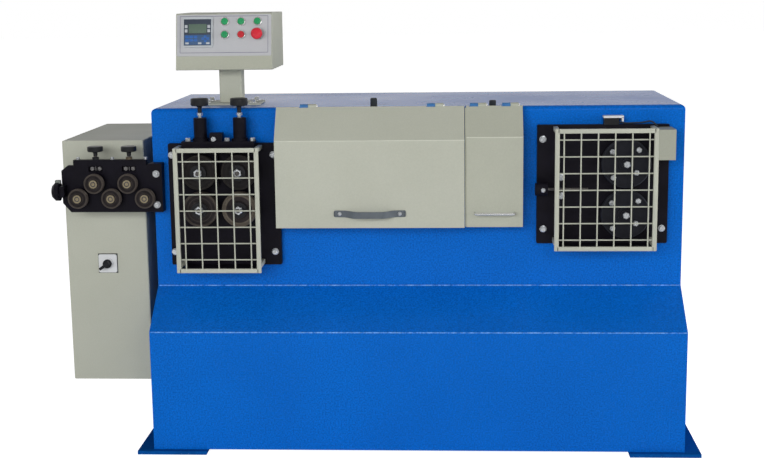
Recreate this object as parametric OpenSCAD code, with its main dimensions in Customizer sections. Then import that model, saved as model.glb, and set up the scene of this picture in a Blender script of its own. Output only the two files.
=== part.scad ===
// Wire straightening and cutting machine, at its real size in millimetres.
// X runs along the wire, Y from the front to the back, Z up from the floor.
// The wire enters the roller head at the left, is pulled in by the feed rolls,
// runs behind the two hinged covers and is cut between the discs at the right.

/* [Machine body] */
// width of the blue body
body_w = 1700; // [1500:10:2000]
// height of the top of the body over the floor
body_h = 1100; // [1000:10:1250]
// depth of the upper body
body_d = 620; // [500:10:800]
// how far the lower body stands out in front of the upper body
plinth_out = 160; // [120:5:220]
// height of the upper front, from the top of the body to the sloping ledge
upper_h = 580; // [520:5:640]
// height of the sloping ledge
ledge_h = 118; // [80:2:180]
// outer radius of the sheet folds
fold_r = 15; // [6:1:22]

/* [Foot plates] */
// width of each foot plate
foot_w = 224; // [140:2:300]
// thickness of the foot plates
foot_t = 12; // [8:1:25]
// how far a foot plate stands out at the side of the body
foot_out = 50; // [20:5:90]
// how far the foot plates stand out at the front and the back
foot_end = 20; // [5:5:60]

/* [Electrical cabinet] */
// width of the electrical cabinet
elec_w = 270; // [220:5:320]
// height of the electrical cabinet
elec_h = 808; // [650:2:850]
// height of its underside over the floor
elec_z = 185; // [100:5:220]
// how far its front lies behind the upper front of the body
elec_back = 50; // [20:5:120]
// gap between it and the body, bridged by the spacer rails
elec_gap = 42; // [20:1:50]
// radius of its folded edges
elec_r = 5; // [2:0.5:12]
// height of a spacer rail
rail_h = 40; // [25:1:60]
// side of the main switch plate
switch_side = 61; // [48:1:90]
// height of the main switch over the floor
switch_z = 584; // [450:1:700]
// diameter of the main switch's round base
switch_d = 36; // [32:1:50]

/* [Wire line] */
// depth of the wire below the top of the body
wire_down = 258; // [240:1:280]
// distance of the wire in front of the upper front of the body
wire_out = 62; // [58:1:68]

/* [Feed unit] */
// width of the feed unit's plate
feed_w = 359; // [345:1:380]
// distance of the feed plate's left edge from the body's left side
feed_inset = 54; // [48:1:70]
// height of the feed plate
feed_h = 396; // [386:1:410]
// how far the feed plate reaches above the wire
feed_up = 147; // [140:1:155]
// thickness of the two black unit plates
plate_t = 20; // [14:1:24]
// diameter of a feed roll
roll_d = 113; // [100:1:116]
// gap between an upper and a lower feed roll
roll_gap = 6; // [5.5:0.5:10]
// distance between the two columns of feed rolls
roll_pitch = 126; // [124:1:136]
// width of a feed roll
roll_w = 30; // [20:1:34]
// depth of a wire groove in a feed roll
groove_deep = 3; // [1:0.5:5]
// diameter of a feed roll's shaft
shaft_d = 30; // [20:1:40]
// diameter of the cap on a feed roll's face
cap_d = 52; // [44:1:60]
// diameter of a spring housing
housing_d = 42; // [32:1:50]
// height of a spring housing
housing_h = 73; // [50:1:90]
// diameter of a pressure screw
screw_d = 12; // [10:1:14]
// diameter of a pressure knob
knob_d = 56; // [40:1:70]
// height of a pressure knob
knob_h = 24; // [16:1:30]

/* [Guards] */
// width of the feed unit's guard
guard_feed_w = 271; // [255:1:285]
// height of the feed unit's guard
guard_feed_h = 400; // [392:1:410]
// width of the cutting unit's guard
guard_cut_w = 318; // [300:1:330]
// height of the cutting unit's guard
guard_cut_h = 384; // [376:1:396]
// distance of the guards' faces from the upper front of the body
guard_out = 115; // [108:1:130]
// width of a guard's frame bar
guard_bar = 14; // [10:0.5:18]
// depth of a guard's frame bar
guard_deep = 10; // [6:0.5:12]
// thickness of the guard wires
guard_wire = 4; // [3:0.5:6]
// spacing of the guard wires
guard_pitch = 52.5; // [40:0.5:60]

/* [Roller head] */
// width of the roller head's plate
head_w = 327; // [320:1:345]
// how far the plate overlaps the front of the body
head_lap = 35; // [28:1:42]
// height of the plate's main part
head_h = 158; // [152:1:170]
// how far the plate reaches below the wire
head_down = 72; // [68:1:82]
// thickness of the head's plate
head_t = 20; // [14:1:24]
// distance of the plate's face from the upper front of the body
head_out = 38; // [32:1:42]
// diameter of a straightening roller
bend_d = 64; // [56:1:68]
// width of a straightening roller
bend_w = 18; // [12:1:20]
// depth of the groove in a straightening roller
bend_groove = 8; // [4:0.5:10]
// distance between neighbouring rollers along the wire
bend_step = 54.5; // [52:0.5:58]
// distance from the wire up or down to the roller centres
bend_rise = 24; // [22:0.5:28]
// diameter of the roller pins
pin_d = 14; // [10:0.5:18]
// diameter of the roller pins' heads
pin_head_d = 26; // [20:1:30]
// diameter of the adjusting knobs
wing_d = 50; // [36:1:56]
// diameter of the wire inlet bush
inlet_d = 60; // [50:1:64]

/* [Cutting unit] */
// width of the cutting unit's plate
cut_w = 414; // [400:1:430]
// gap between the small cover and the cutting unit's plate
cut_gap = 46.5; // [40:0.5:60]
// height of the cutting unit's plate
cut_h = 380; // [372:1:392]
// how far the plate reaches above the wire
cut_up = 199; // [194:1:206]
// diameter of a cutter disc
disc_d = 155; // [130:1:158]
// gap between the two cutter discs
disc_gap = 6; // [5.5:0.5:10]
// thickness of a cutter disc
disc_t = 18; // [12:1:22]
// distance of the disc centres from the plate's left edge
disc_inset = 275; // [262:1:282]
// diameter of the wire guide's body
guide_d = 40; // [34:1:48]
// diameter of the wire guide's tube
tube_d = 9; // [6:0.5:12]

/* [Covers] */
// width of the main cover
main_w = 598; // [560:1:600]
// width of the small cover
small_w = 178; // [160:1:182]
// distance of the main cover's left edge from the body's left side
cover_inset = 407; // [405:1:414]
// gap between the two covers
cover_seam = 5.5; // [5.5:0.5:8]
// height of the covers, from the top of the body down
cover_h = 375; // [360:1:400]
// height of the main cover's sloping band
main_band = 97; // [80:1:120]
// height of the small cover's sloping band
small_band = 90; // [75:1:115]
// distance of the main cover's face from the upper front of the body
main_out = 92; // [85:1:100]
// distance of the small cover's face from the upper front of the body
small_out = 80; // [74:1:90]
// thickness of the covers' sheet
sheet_t = 3; // [2:0.5:4]
// depth of the lip folded back along the lower edge
lip = 16; // [10:1:22]
// radius of a hinge barrel
barrel_r = 9; // [7.5:0.5:10]
// diameter of the hinge pins
hinge_pin_d = 8; // [6:0.5:9]
// length of one hinge
hinge_len = 52; // [40:1:60]
// height of the main cover's rubber buffer
buffer_main_h = 27; // [16:1:30]
// height of the small cover's rubber buffer
buffer_small_h = 17; // [12:1:24]
// diameter of the rubber buffers
buffer_d = 22; // [16:1:26]

/* [Handles] */
// length of the bow handle over its feet
bow_len = 228; // [190:1:260]
// width of the bow handle's strap
bow_w = 21; // [14:1:28]
// thickness of the strap
bow_t = 4; // [3:0.5:6]
// how far the bow stands off the cover
bow_rise = 37; // [28:1:45]
// length of each flat foot of the bow handle
bow_foot = 37; // [28:1:46]
// length of the sloping part between a foot and the straight grip
bow_run = 31; // [20:1:36]
// length of the wire handle
pull_len = 125; // [90:1:140]
// thickness of the wire handle's rod
pull_d = 7; // [5:0.5:9]
// how far the wire handle stands off the cover
pull_rise = 32; // [24:1:40]

/* [Control box] */
// width of the control box
ctrl_w = 316; // [280:2:360]
// height of the control box
ctrl_h = 182; // [160:2:220]
// depth of the control box at its foot
ctrl_d = 290; // [240:5:330]
// how far its face leans back over its height
ctrl_lean = 40; // [20:2:60]
// distance of the face's lower edge behind the upper front of the body
ctrl_back = 90; // [70:5:120]
// height of the control column over its base plate
column_h = 110; // [80:2:200]
// width of the control column
column_w = 76; // [55:1:85]
// depth of the control column
column_d = 60; // [50:1:75]
// thickness of the column's base plate
column_base_t = 6; // [5:1:14]
// width of the film on the control box's face
film_w = 310; // [270:1:312]
// height of that film
film_h = 136; // [115:1:145]
// width of the display unit
display_w = 97; // [75:1:110]
// height of the display unit
display_h = 100; // [70:1:104]
// distance between neighbouring push-buttons
button_step = 53.5; // [46:0.5:58]
// distance between the two rows of push-buttons
button_rise = 43; // [42:0.5:48]
// diameter of the push-buttons' rims
button_d = 30; // [24:0.5:34]
// diameter of the emergency stop's head
stop_d = 40; // [34:1:46]

/* [Hidden] */
// roundness of the curved faces
$fn = 64;
// radial clearance of shafts, pins and hinges
run = 0.05;
// room between touching curved faces of different pieces
ease = 0.4;
// overlap that makes a cut run past the face it opens
past = 1;
// smallest room round a moving piece
room = 6;

blue = [0.06, 0.38, 0.74];
cream = [0.72, 0.72, 0.67];
black = [0.10, 0.10, 0.13];
grey = [0.55, 0.57, 0.58];
steel = [0.70, 0.71, 0.72];
iron = [0.24, 0.23, 0.24];
bronze = [0.47, 0.38, 0.24];
green = [0.10, 0.55, 0.32];
red = [0.80, 0.12, 0.14];

// heights that hang from the top of the body
slope_top = body_h - upper_h;
slope_foot = slope_top - ledge_h;
wire_z = body_h - wire_down;
cover_z = body_h - cover_h;
main_fold_z = body_h - main_band;
small_fold_z = body_h - small_band;

// half width of the body, and the places of what stands at its left
body_x = body_w / 2;
x_elec = -body_x - elec_gap - elec_w;
rail_in = 110;
switch_x = x_elec + elec_w / 2;
switch_plate_t = 6;
switch_plate_r = 6;
switch_step = 3;
switch_hub = 16;
switch_deep = 7;
switch_boss_d = 29;
switch_grip_w = 11;
switch_tip_w = 9;
switch_grip_len = 26;
switch_boss_h = 8;
switch_grip_h = 18;
switch_grip_turn = 55;

// roller head: its plate, its rollers and its upper bar
x_head = -body_x + head_lap - head_w;
head_x1 = -body_x + head_lap;
head_z0 = wire_z - head_down;
head_z1 = head_z0 + head_h;
head_step = 6;
bend_in_x = 57;
bend_x = [for (i = [0:4]) x_head + bend_in_x + i * bend_step];
bend_z = [for (i = [0:4]) wire_z + (i % 2 == 0 ? -bend_rise : bend_rise)];
pin_head_t = 4;
pin_slack = 1;
bar_h = 18;
bar_in = 40;
bar_x0 = x_head + bar_in;
bar_w = bend_x[4] + 2 - bar_x0;
bar_z = head_z1 - head_step;
window_w = 45;
window_h = 17;
window_deep = 12;
window_drop = 26;
wing_screw_d = 10;
wing_nut = 19;
wing_nut_h = 9;
wing_lift = 16;
wing_neck = 14;
wing_h = 17;
inlet_len = 23;
inlet_bevel = 10;
inlet_bore = 12;
lug_w = 17;
lug_h = 36;
lug_half = 15;
x_left = x_head - inlet_len;

// outline of the whole machine on the floor
x_right = body_x + foot_out;
y_front = -plinth_out - foot_end;
y_rear = body_d + foot_end;
shift_x = -(x_left + x_right) / 2;
shift_y = -(y_front + y_rear) / 2;

// feed unit: its plate, its rolls and what presses them together
plate_r = 4;
feed_x0 = -body_x + feed_inset;
feed_top = wire_z + feed_up;
feed_z0 = feed_top - feed_h;
roll_mid = 171;
feed_mid = feed_x0 + roll_mid;
roll_half = (roll_d + roll_gap) / 2;
roll_x = [feed_mid - roll_pitch / 2, feed_mid + roll_pitch / 2];
roll_low = wire_z - roll_half;
roll_high = wire_z + roll_half;
boss_y = plate_t + 20;
boss_wall = 17;
shaft_in = 18;
cap_h = 12;
roll_nut = 24;
roll_nut_h = 8;
slide_w = roll_pitch - 14;
slide_up = 55;
slide_down = 45;
bridge_drop = 10;
bridge_z = feed_top - bridge_drop;
bridge_t = 22;
bridge_w = 232;
bridge_deep = 55;
block_w = 40;
block_deep = 30;
block_up = 26;
block_in = 8;
screw_shift = 5;
screw_x = [roll_x[0] + screw_shift, roll_x[1] + screw_shift];
screw_y = -plate_t - bridge_deep / 2;
screw_z = roll_high + roll_d / 2 + room;
housing_z = bridge_z + bridge_t;
flange_out = 5;
flange_h = 8;
block_x = screw_x[0] + housing_d / 2 + flange_out + room;
lock_nut = 17;
lock_nut_h = 9;
knob_lift = 16;
knob_neck = 22;
neck_r = 6.5;
knob_z = housing_z + housing_h + knob_lift;

// covers and their hinges
cover_x0 = -body_x + cover_inset;
small_x0 = cover_x0 + main_w + cover_seam;
hinge_y = -barrel_r - 2;
hinge_z = body_h + 3;
hinge_half = hinge_len / 2;
hinge_play = 0.5;
leaf_t = 4;
leaf_in = 25;
pin_end = 2;
main_hinge_in = 76;
small_hinge_in = 12;
main_hinges = [cover_x0 + main_hinge_in, cover_x0 + main_w - main_hinge_in + 10 - hinge_len];
small_hinges = [small_x0 + small_hinge_in, small_x0 + small_w - small_hinge_in - hinge_len];
cheek_y = -plate_t - room;
cheek_drop = 14;
slot_h = 24;
buffer_y = fold_r + buffer_d / 2 + 1;
main_buffer_x = cover_x0 + main_w / 2 + 10;
small_buffer_x = small_x0 + small_w / 2 - 4;
grip_up = 46;

// cutting unit: its plate, its discs and its wire guide
cut_x0 = small_x0 + small_w + cut_gap;
cut_top = wire_z + cut_up;
cut_z0 = cut_top - cut_h;
disc_x = cut_x0 + disc_inset;
disc_half = (disc_d + disc_gap) / 2;
disc_y = -wire_out - disc_t / 2;
disc_boss = wire_out - disc_t / 2 - room;
disc_wall = 15;
disc_bore = 5;
hub_d = 48;
hub_h = 6;
nose_d = 32;
nose_h = 14;
guide_side = 28;
guide_out = 8;
guide_len = 40;
tube_end = 39;

// guards and the switch of the right one
guard_feed_in = 34;
guard_feed_drop = 5;
guard_cut_in = 50;
guard_cut_drop = 4;
guard_feed_x = feed_x0 + guard_feed_in;
guard_feed_z = feed_top - guard_feed_drop - guard_feed_h;
guard_cut_x = cut_x0 + guard_cut_in;
guard_cut_z = cut_top - guard_cut_drop - guard_cut_h;
switch_box_w = 52;
switch_box_h = 94;
switch_box_up = -8;
sensor_in = 158;
sensor_w = 47;
sensor_h = 22;
sensor_out = 12;
bracket_w = 60;
bracket_t = 6;

// control box, with places on its leaning face from the middle of its lower edge
ctrl_x = feed_mid;
ctrl_z = body_h + column_base_t + column_h;
ctrl_r = 4;
ctrl_tilt = atan(ctrl_lean / ctrl_h);
face_len = norm([ctrl_h, ctrl_lean]);
column_in = 115;
column_y = ctrl_back + column_in;
column_r = 6;
column_x = ctrl_x + 6;
base_w = 210;
base_d = 145;
base_r = 14;
base_y = column_y - 95;
film_t = 2;
film_r = 5;
film_down = 4.3;
film_z = face_len - film_down - film_h;
display_t = 7;
display_r = 4;
display_in = 22;
display_x = -film_w / 2 + display_in;
display_up = 28;
display_z = film_z + display_up;
button_x = [for (i = [0:2]) 3 + i * button_step];
button_rows = [film_z + 69, film_z + 69 + button_rise];
rim_h = 6;
cap_in = 4;
button_h = 11;
collar_d = 30;
collar_h = 6;
neck_d = 22;
neck_h = 16;
stop_h = 31;

// Moves a piece from the body's own axes to the middle of the footprint.
module placed() {
    translate([shift_x, shift_y, 0])
        children();
}

// Draws a side view, depth across and height up, along the wire from x0.
module along(x0, length) {
    translate([x0, 0, 0])
        rotate([90, 0, 90])
            linear_extrude(length)
                children();
}

// Draws a front view, width across and height up, backwards from y0.
module front(y0, depth) {
    translate([0, y0 + depth, 0])
        rotate([90, 0, 0])
            linear_extrude(depth)
                children();
}

// A round bar that lies along the wire, from x0.
module rod_x(x0, y, z, d, length) {
    translate([x0, y, z])
        rotate([0, 90, 0])
            cylinder(d = d, h = length);
}

// A round bar that runs from y0 towards the back.
module rod_y(x, y0, z, d, length) {
    translate([x, y0, z])
        rotate([-90, 0, 0])
            cylinder(d = d, h = length);
}

// A hexagon prism along the depth, with its width over the flats.
module hex_y(x, y0, z, flats, length) {
    translate([x, y0, z])
        rotate([-90, 0, 0])
            cylinder(d = flats / cos(30), h = length, $fn = 6);
}

// A hexagon prism that stands upright.
module hex_z(x, y, z0, flats, length) {
    translate([x, y, z0])
        cylinder(d = flats / cos(30), h = length, $fn = 6);
}

function unit(v) = v / norm(v);
function bend_cos(p, q, r) = unit(p - q) * unit(r - q);
function bend_half(p, q, r) = acos(bend_cos(p, q, r)) / 2;
function bend_in(p, q, r, rad) = q + unit(p - q) * rad / tan(bend_half(p, q, r));
function bend_out(p, q, r, rad) = q + unit(r - q) * rad / tan(bend_half(p, q, r));
function bend_mid(p, q, r, rad) =
    q + unit(unit(p - q) + unit(r - q)) * rad / sin(bend_half(p, q, r));

// A closed outline, drawn anticlockwise, with its outer corners rounded as sheet folds.
module folded(pts, rads) {
    n = len(pts);
    turns = [for (i = [0:n - 1])
        cross(pts[i] - pts[(i + n - 1) % n], pts[(i + 1) % n] - pts[i])];
    cut = [for (i = [0:n - 1])
        let (p = pts[(i + n - 1) % n], q = pts[i], r = pts[(i + 1) % n])
        each (rads[i] > 0 && turns[i] > 0
            ? [bend_in(p, q, r, rads[i]), bend_out(p, q, r, rads[i])]
            : [q])];
    polygon(cut);
    for (i = [0:n - 1]) {
        p = pts[(i + n - 1) % n];
        q = pts[i];
        r = pts[(i + 1) % n];
        if (rads[i] > 0 && turns[i] > 0)
            translate(bend_mid(p, q, r, rads[i]))
                circle(rads[i]);
    }
}

// A rectangle with four rounded corners, from its lower left corner.
module round_rect(w, h, r) {
    folded([[0, 0], [w, 0], [w, h], [0, h]], [r, r, r, r]);
}

// The blue body: a stepped sheet housing with a sloping ledge and rounded folds.
module body_side() {
    folded([[-plinth_out, foot_t], [body_d, foot_t], [body_d, body_h], [0, body_h],
            [0, slope_top], [-plinth_out, slope_foot]],
           [0, 0, fold_r, fold_r, 0, fold_r]);
}

module cabinet() {
    color(blue)
        placed()
            intersection() {
                along(-body_x, body_w)
                    body_side();
                front(y_front, y_rear - y_front)
                    translate([-body_x, foot_t])
                        folded([[0, 0], [body_w, 0], [body_w, body_h - foot_t],
                                [0, body_h - foot_t]], [0, 0, fold_r, fold_r]);
            }
}

// Two flat steel plates under the ends of the body.
module foot_plates() {
    color(blue)
        placed()
            for (side = [-1, 1])
                translate([side * (x_right - foot_w / 2) - foot_w / 2, y_front, 0])
                    cube([foot_w, y_rear - y_front, foot_t]);
}

module electrical_cabinet() {
    color(cream)
        placed()
            intersection() {
                front(elec_back, body_d - elec_back)
                    translate([x_elec, elec_z])
                        round_rect(elec_w, elec_h, elec_r);
                translate([x_elec, elec_back, elec_z])
                    linear_extrude(elec_h)
                        round_rect(elec_w, body_d - elec_back, elec_r);
            }
}

// Two rails that hold the electrical cabinet off the body's left side.
module spacer_rails() {
    color(iron)
        placed()
            for (z = [elec_z + rail_in, elec_z + elec_h - rail_in - rail_h])
                translate([x_elec + elec_w, elec_back + rail_in, z])
                    cube([elec_gap, body_d - elec_back - 2 * rail_in, rail_h]);
}

module main_switch_plate() {
    color(grey)
        placed()
            difference() {
                union() {
                    front(elec_back - switch_plate_t, switch_plate_t)
                        translate([switch_x - switch_side / 2, switch_z - switch_side / 2])
                            round_rect(switch_side, switch_side, switch_plate_r);
                    rod_y(switch_x, elec_back - switch_plate_t - switch_step, switch_z, switch_d,
                          switch_step + past);
                }
                rod_y(switch_x, elec_back - switch_plate_t - switch_step - past, switch_z,
                      switch_hub + 2 * run, switch_deep + 2 * past);
            }
}

// The rotary handle: a round boss with a tapered grip and a short spindle behind it.
module main_switch_handle() {
    face = elec_back - switch_plate_t - switch_step - 1;
    tail = switch_boss_d * 0.4;
    color(black)
        placed() {
            rod_y(switch_x, face, switch_z, switch_hub, switch_deep);
            rod_y(switch_x, face - switch_boss_h, switch_z, switch_boss_d, switch_boss_h);
            translate([switch_x, face - switch_boss_h - switch_grip_h, switch_z])
                rotate([0, switch_grip_turn, 0])
                    rotate([-90, 0, 0])
                        linear_extrude(switch_grip_h + past)
                            polygon([[-switch_grip_w / 2, -tail], [switch_grip_w / 2, -tail],
                                     [switch_tip_w / 2, switch_grip_len],
                                     [-switch_tip_w / 2, switch_grip_len]]);
        }
}

// The black plate of the feed unit, with the two fixed bearing bosses in front of it.
module feed_plate() {
    color(black)
        placed()
            difference() {
                union() {
                    front(-plate_t, plate_t)
                        translate([feed_x0, feed_z0])
                            round_rect(feed_w, feed_h, plate_r);
                    for (x = roll_x)
                        rod_y(x, -boss_y, roll_low, shaft_d + 2 * boss_wall,
                              boss_y - plate_t + past);
                }
                for (x = roll_x)
                    rod_y(x, -boss_y - past, roll_low, shaft_d + 2 * run,
                          shaft_in + 2 * past);
            }
}

// The two bearing blocks that carry the upper feed rolls under the bridge.
module pressure_slides() {
    color(black)
        placed()
            for (x = roll_x)
                difference() {
                    translate([x - slide_w / 2, -boss_y, roll_high - slide_down])
                        cube([slide_w, boss_y - plate_t, slide_down + slide_up]);
                    rod_y(x, -boss_y - past, roll_high, shaft_d + 2 * run, shaft_in + past);
                }
}

// The bar across the head of the feed unit, bored for the pressure screws.
module feed_bridge() {
    color(black)
        placed()
            difference() {
                union() {
                    translate([feed_mid - bridge_w / 2, -plate_t - bridge_deep, bridge_z])
                        cube([bridge_w, bridge_deep, bridge_t]);
                    translate([block_x, -plate_t - bridge_deep + block_in, bridge_z])
                        cube([block_w, block_deep, bridge_t + block_up]);
                }
                for (x = screw_x)
                    translate([x, screw_y, bridge_z - past])
                        cylinder(d = screw_d + 2 * ease, h = bridge_t + 2 * past);
            }
}

module spring_housings() {
    color(black)
        placed()
            for (x = screw_x)
                translate([x, screw_y, housing_z])
                    difference() {
                        union() {
                            cylinder(d = housing_d, h = housing_h);
                            cylinder(d = housing_d + 2 * flange_out, h = flange_h);
                        }
                        translate([0, 0, -past])
                            cylinder(d = screw_d + 2 * ease, h = housing_h + 2 * past);
                    }
}

// Threaded pressure screws with their lock nuts, from over the rolls up to the knobs.
module pressure_screws() {
    color(steel)
        placed()
            for (x = screw_x) {
                translate([x, screw_y, screw_z])
                    cylinder(d = screw_d, h = knob_z - screw_z);
                hex_z(x, screw_y, knob_z - lock_nut_h, lock_nut, lock_nut_h);
            }
}

module pressure_knobs() {
    r = knob_d / 2;
    top = knob_neck + knob_h;
    color(black)
        placed()
            for (x = screw_x)
                translate([x, screw_y, knob_z])
                    rotate_extrude()
                        polygon([[0, 0], [neck_r, 0], [neck_r, knob_neck - 3],
                                 [neck_r + 6, knob_neck], [r - 3, knob_neck + 1],
                                 [r, knob_neck + 4], [r, top - 4], [r - 4, top], [0, top]]);
}

// One grooved feed roll with its shaft behind and its cap and nut in front.
module feed_roll(x, z) {
    y0 = -wire_out - roll_w / 2;
    r = roll_d / 2;
    g = groove_deep;
    w = roll_w;
    placed() {
        translate([x, y0, z])
            rotate([-90, 0, 0])
                rotate_extrude()
                    polygon([[0, 0], [r - 8, 0], [r - 6, 2], [r - 2, 2], [r, 4],
                             [r, w / 2 - 2 * g], [r - g, w / 2 - g], [r, w / 2],
                             [r, w / 2 + g], [r - g, w / 2 + 2 * g], [r, w / 2 + 3 * g],
                             [r, w - 2], [r - 2, w], [0, w]]);
        rod_y(x, y0, z, shaft_d, -boss_y + shaft_in - past - y0);
        rod_y(x, y0 - cap_h, z, cap_d, cap_h + past);
        hex_y(x, y0 - cap_h - roll_nut_h, z, roll_nut, roll_nut_h + past);
    }
}

module feed_roll_upper_left() {
    color(iron)
        feed_roll(roll_x[0], roll_high);
}

module feed_roll_upper_right() {
    color(iron)
        feed_roll(roll_x[1], roll_high);
}

module feed_roll_lower_left() {
    color(iron)
        feed_roll(roll_x[0], roll_low);
}

module feed_roll_lower_right() {
    color(steel)
        feed_roll(roll_x[1], roll_low);
}

// A welded guard: a flat frame filled with crossing wires, on four corner posts.
module guard(x0, z0, w, h, cols, rows, post_z) {
    inner_w = w - 2 * guard_bar;
    inner_h = h - 2 * guard_bar;
    wire_y = -guard_out + (guard_deep - guard_wire) / 2;
    col_0 = x0 + w / 2 - guard_pitch * (cols - 1) / 2 - guard_wire / 2;
    row_0 = z0 + h / 2 - guard_pitch * (rows - 1) / 2 - guard_wire / 2;
    color(cream)
        placed()
            union() {
                front(-guard_out, guard_deep)
                    translate([x0, z0])
                        difference() {
                            square([w, h]);
                            translate([guard_bar, guard_bar])
                                square([inner_w, inner_h]);
                        }
                front(wire_y, guard_wire) {
                    for (i = [0:cols - 1])
                        translate([col_0 + i * guard_pitch, z0 + guard_bar / 2])
                            square([guard_wire, h - guard_bar]);
                    for (i = [0:rows - 1])
                        translate([x0 + guard_bar / 2, row_0 + i * guard_pitch])
                            square([w - guard_bar, guard_wire]);
                }
                for (px = [x0, x0 + w - guard_bar], pz = [z0 + post_z, z0 + h - guard_bar])
                    translate([px, -guard_out + guard_deep / 2, pz])
                        cube([guard_bar, guard_out - guard_deep / 2 - plate_t, guard_bar]);
            }
}

module feed_guard() {
    guard(guard_feed_x, guard_feed_z, guard_feed_w, guard_feed_h, 5, 7, guard_bar);
}

module cutter_guard() {
    guard(guard_cut_x, guard_cut_z, guard_cut_w, guard_cut_h, 6, 7, guard_bar);
}

// The roller head's plate, with chamfered ends and a foot that meets the body.
module head_plate() {
    chamfer = 22;
    cut_low = 30;
    step_in = 42;
    color(black)
        placed()
            difference() {
                union() {
                    front(-head_out, head_t)
                        polygon([[x_head + cut_low - 4, head_z0], [head_x1, head_z0],
                                 [head_x1, head_z1], [head_x1 - step_in, head_z1],
                                 [head_x1 - step_in - 8, bar_z], [x_head + chamfer - 1, bar_z],
                                 [x_head, head_z1 - chamfer], [x_head, head_z0 + cut_low]]);
                    translate([-body_x, -head_out + head_t - past, head_z0])
                        cube([head_lap, head_out - head_t + past, head_h]);
                    for (i = [0:4])
                        rod_y(bend_x[i], -wire_out + bend_w / 2 + pin_slack, bend_z[i],
                              pin_d + 10, wire_out - bend_w / 2 - head_out);
                }
                for (i = [1, 3])
                    front(-head_out - past, window_deep + past)
                        translate([bend_x[i] - window_w / 2, head_z1 - window_drop])
                            square([window_w, window_h]);
            }
}

// The bar on the head's upper edge, which takes the adjusting screws.
module head_top_bar() {
    color(black)
        placed()
            difference() {
                translate([bar_x0, -head_out, bar_z])
                    cube([bar_w, head_t, bar_h]);
                for (i = [1, 3])
                    translate([bend_x[i], -head_out + head_t / 2, bar_z - past])
                        cylinder(d = wing_screw_d + 2 * ease, h = bar_h + 2 * past);
            }
}

// Adjusting screws with their lock nuts and flat round knobs.
module adjusting_screws() {
    y = -head_out + head_t / 2;
    top = bar_z + bar_h;
    r = wing_d / 2;
    crown = wing_neck + wing_h;
    color(black)
        placed()
            for (i = [1, 3]) {
                translate([bend_x[i], y, bar_z])
                    cylinder(d = wing_screw_d, h = bar_h + wing_lift + wing_neck);
                hex_z(bend_x[i], y, top, wing_nut, wing_nut_h);
                translate([bend_x[i], y, top + wing_lift])
                    rotate_extrude()
                        polygon([[0, 0], [8, 0], [9, wing_neck - 1], [r - 2, wing_neck],
                                 [r, wing_neck + 2], [r, crown - 3], [r - 3, crown],
                                 [0, crown]]);
            }
}

// The pins on which the straightening rollers turn, each with a round head in front.
module roller_pins() {
    y0 = -wire_out - bend_w / 2 - pin_slack - pin_head_t;
    color(bronze)
        placed()
            for (i = [0:4]) {
                rod_y(bend_x[i], y0, bend_z[i], pin_head_d, pin_head_t);
                rod_y(bend_x[i], y0, bend_z[i], pin_d, pin_head_t + bend_w + 2 * pin_slack);
            }
}

// One straightening roller: a grooved ring with a raised rim round its bore.
module straightening_roller(i) {
    r = bend_d / 2;
    w = bend_w;
    g = bend_groove;
    bore = pin_d / 2 + run;
    color(iron)
        placed()
            translate([bend_x[i], -wire_out - w / 2, bend_z[i]])
                rotate([-90, 0, 0])
                    rotate_extrude()
                        polygon([[bore, 0], [18, 0], [20, 1.5], [r - 8, 1.5], [r - 6, 0],
                                 [r - 1.5, 0], [r, 1.5], [r, w / 2 - 5], [r - g, w / 2 - 1],
                                 [r - g, w / 2 + 1], [r, w / 2 + 5], [r, w - 1.5],
                                 [r - 1.5, w], [bore, w]]);
}

module straightening_roller_1() {
    straightening_roller(0);
}

module straightening_roller_2() {
    straightening_roller(1);
}

module straightening_roller_3() {
    straightening_roller(2);
}

module straightening_roller_4() {
    straightening_roller(3);
}

module straightening_roller_5() {
    straightening_roller(4);
}

// The bush that leads the wire into the roller head, on a lug that meets the plate.
module inlet_guide() {
    r = inlet_d / 2;
    color(black)
        placed()
            difference() {
                union() {
                    translate([x_left, -wire_out, wire_z])
                        rotate([0, 90, 0])
                            rotate_extrude()
                                polygon([[0, 0], [r - inlet_bevel, 0], [r, inlet_bevel],
                                         [r, inlet_len], [0, inlet_len]]);
                    translate([x_head - past, -wire_out - lug_half, wire_z - lug_h / 2])
                        cube([lug_w, wire_out + lug_half - head_out, lug_h]);
                }
                rod_x(x_left - past, -wire_out, wire_z, inlet_bore, inlet_len + lug_w + past);
            }
}

// The black plate of the cutting unit, with the two bearing bosses of the discs.
module cutter_plate() {
    color(black)
        placed()
            difference() {
                union() {
                    front(-plate_t, plate_t)
                        translate([cut_x0, cut_z0])
                            round_rect(cut_w, cut_h, plate_r);
                    for (side = [-1, 1])
                        rod_y(disc_x, -disc_boss, wire_z + side * disc_half,
                              shaft_d + 2 * disc_wall, disc_boss - plate_t + past);
                }
                for (side = [-1, 1])
                    rod_y(disc_x, -disc_boss - past, wire_z + side * disc_half,
                          shaft_d + 2 * run, disc_boss - disc_bore + past);
            }
}

// One cutter disc with its stepped hub, and its shaft behind.
module cutter_disc(side) {
    r = disc_d / 2;
    color(iron)
        placed() {
            translate([disc_x, disc_y, wire_z + side * disc_half])
                rotate([-90, 0, 0])
                    rotate_extrude()
                        polygon([[0, -nose_h], [nose_d / 2, -nose_h], [nose_d / 2, -hub_h],
                                 [hub_d / 2, -hub_h], [hub_d / 2, 0], [r - 3, 0], [r, 3],
                                 [r, disc_t - 3], [r - 3, disc_t], [0, disc_t]]);
            rod_y(disc_x, disc_y, wire_z + side * disc_half, shaft_d,
                  -disc_y - disc_bore - 2 * past);
        }
}

module cutter_disc_upper() {
    cutter_disc(1);
}

module cutter_disc_lower() {
    cutter_disc(-1);
}

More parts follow.
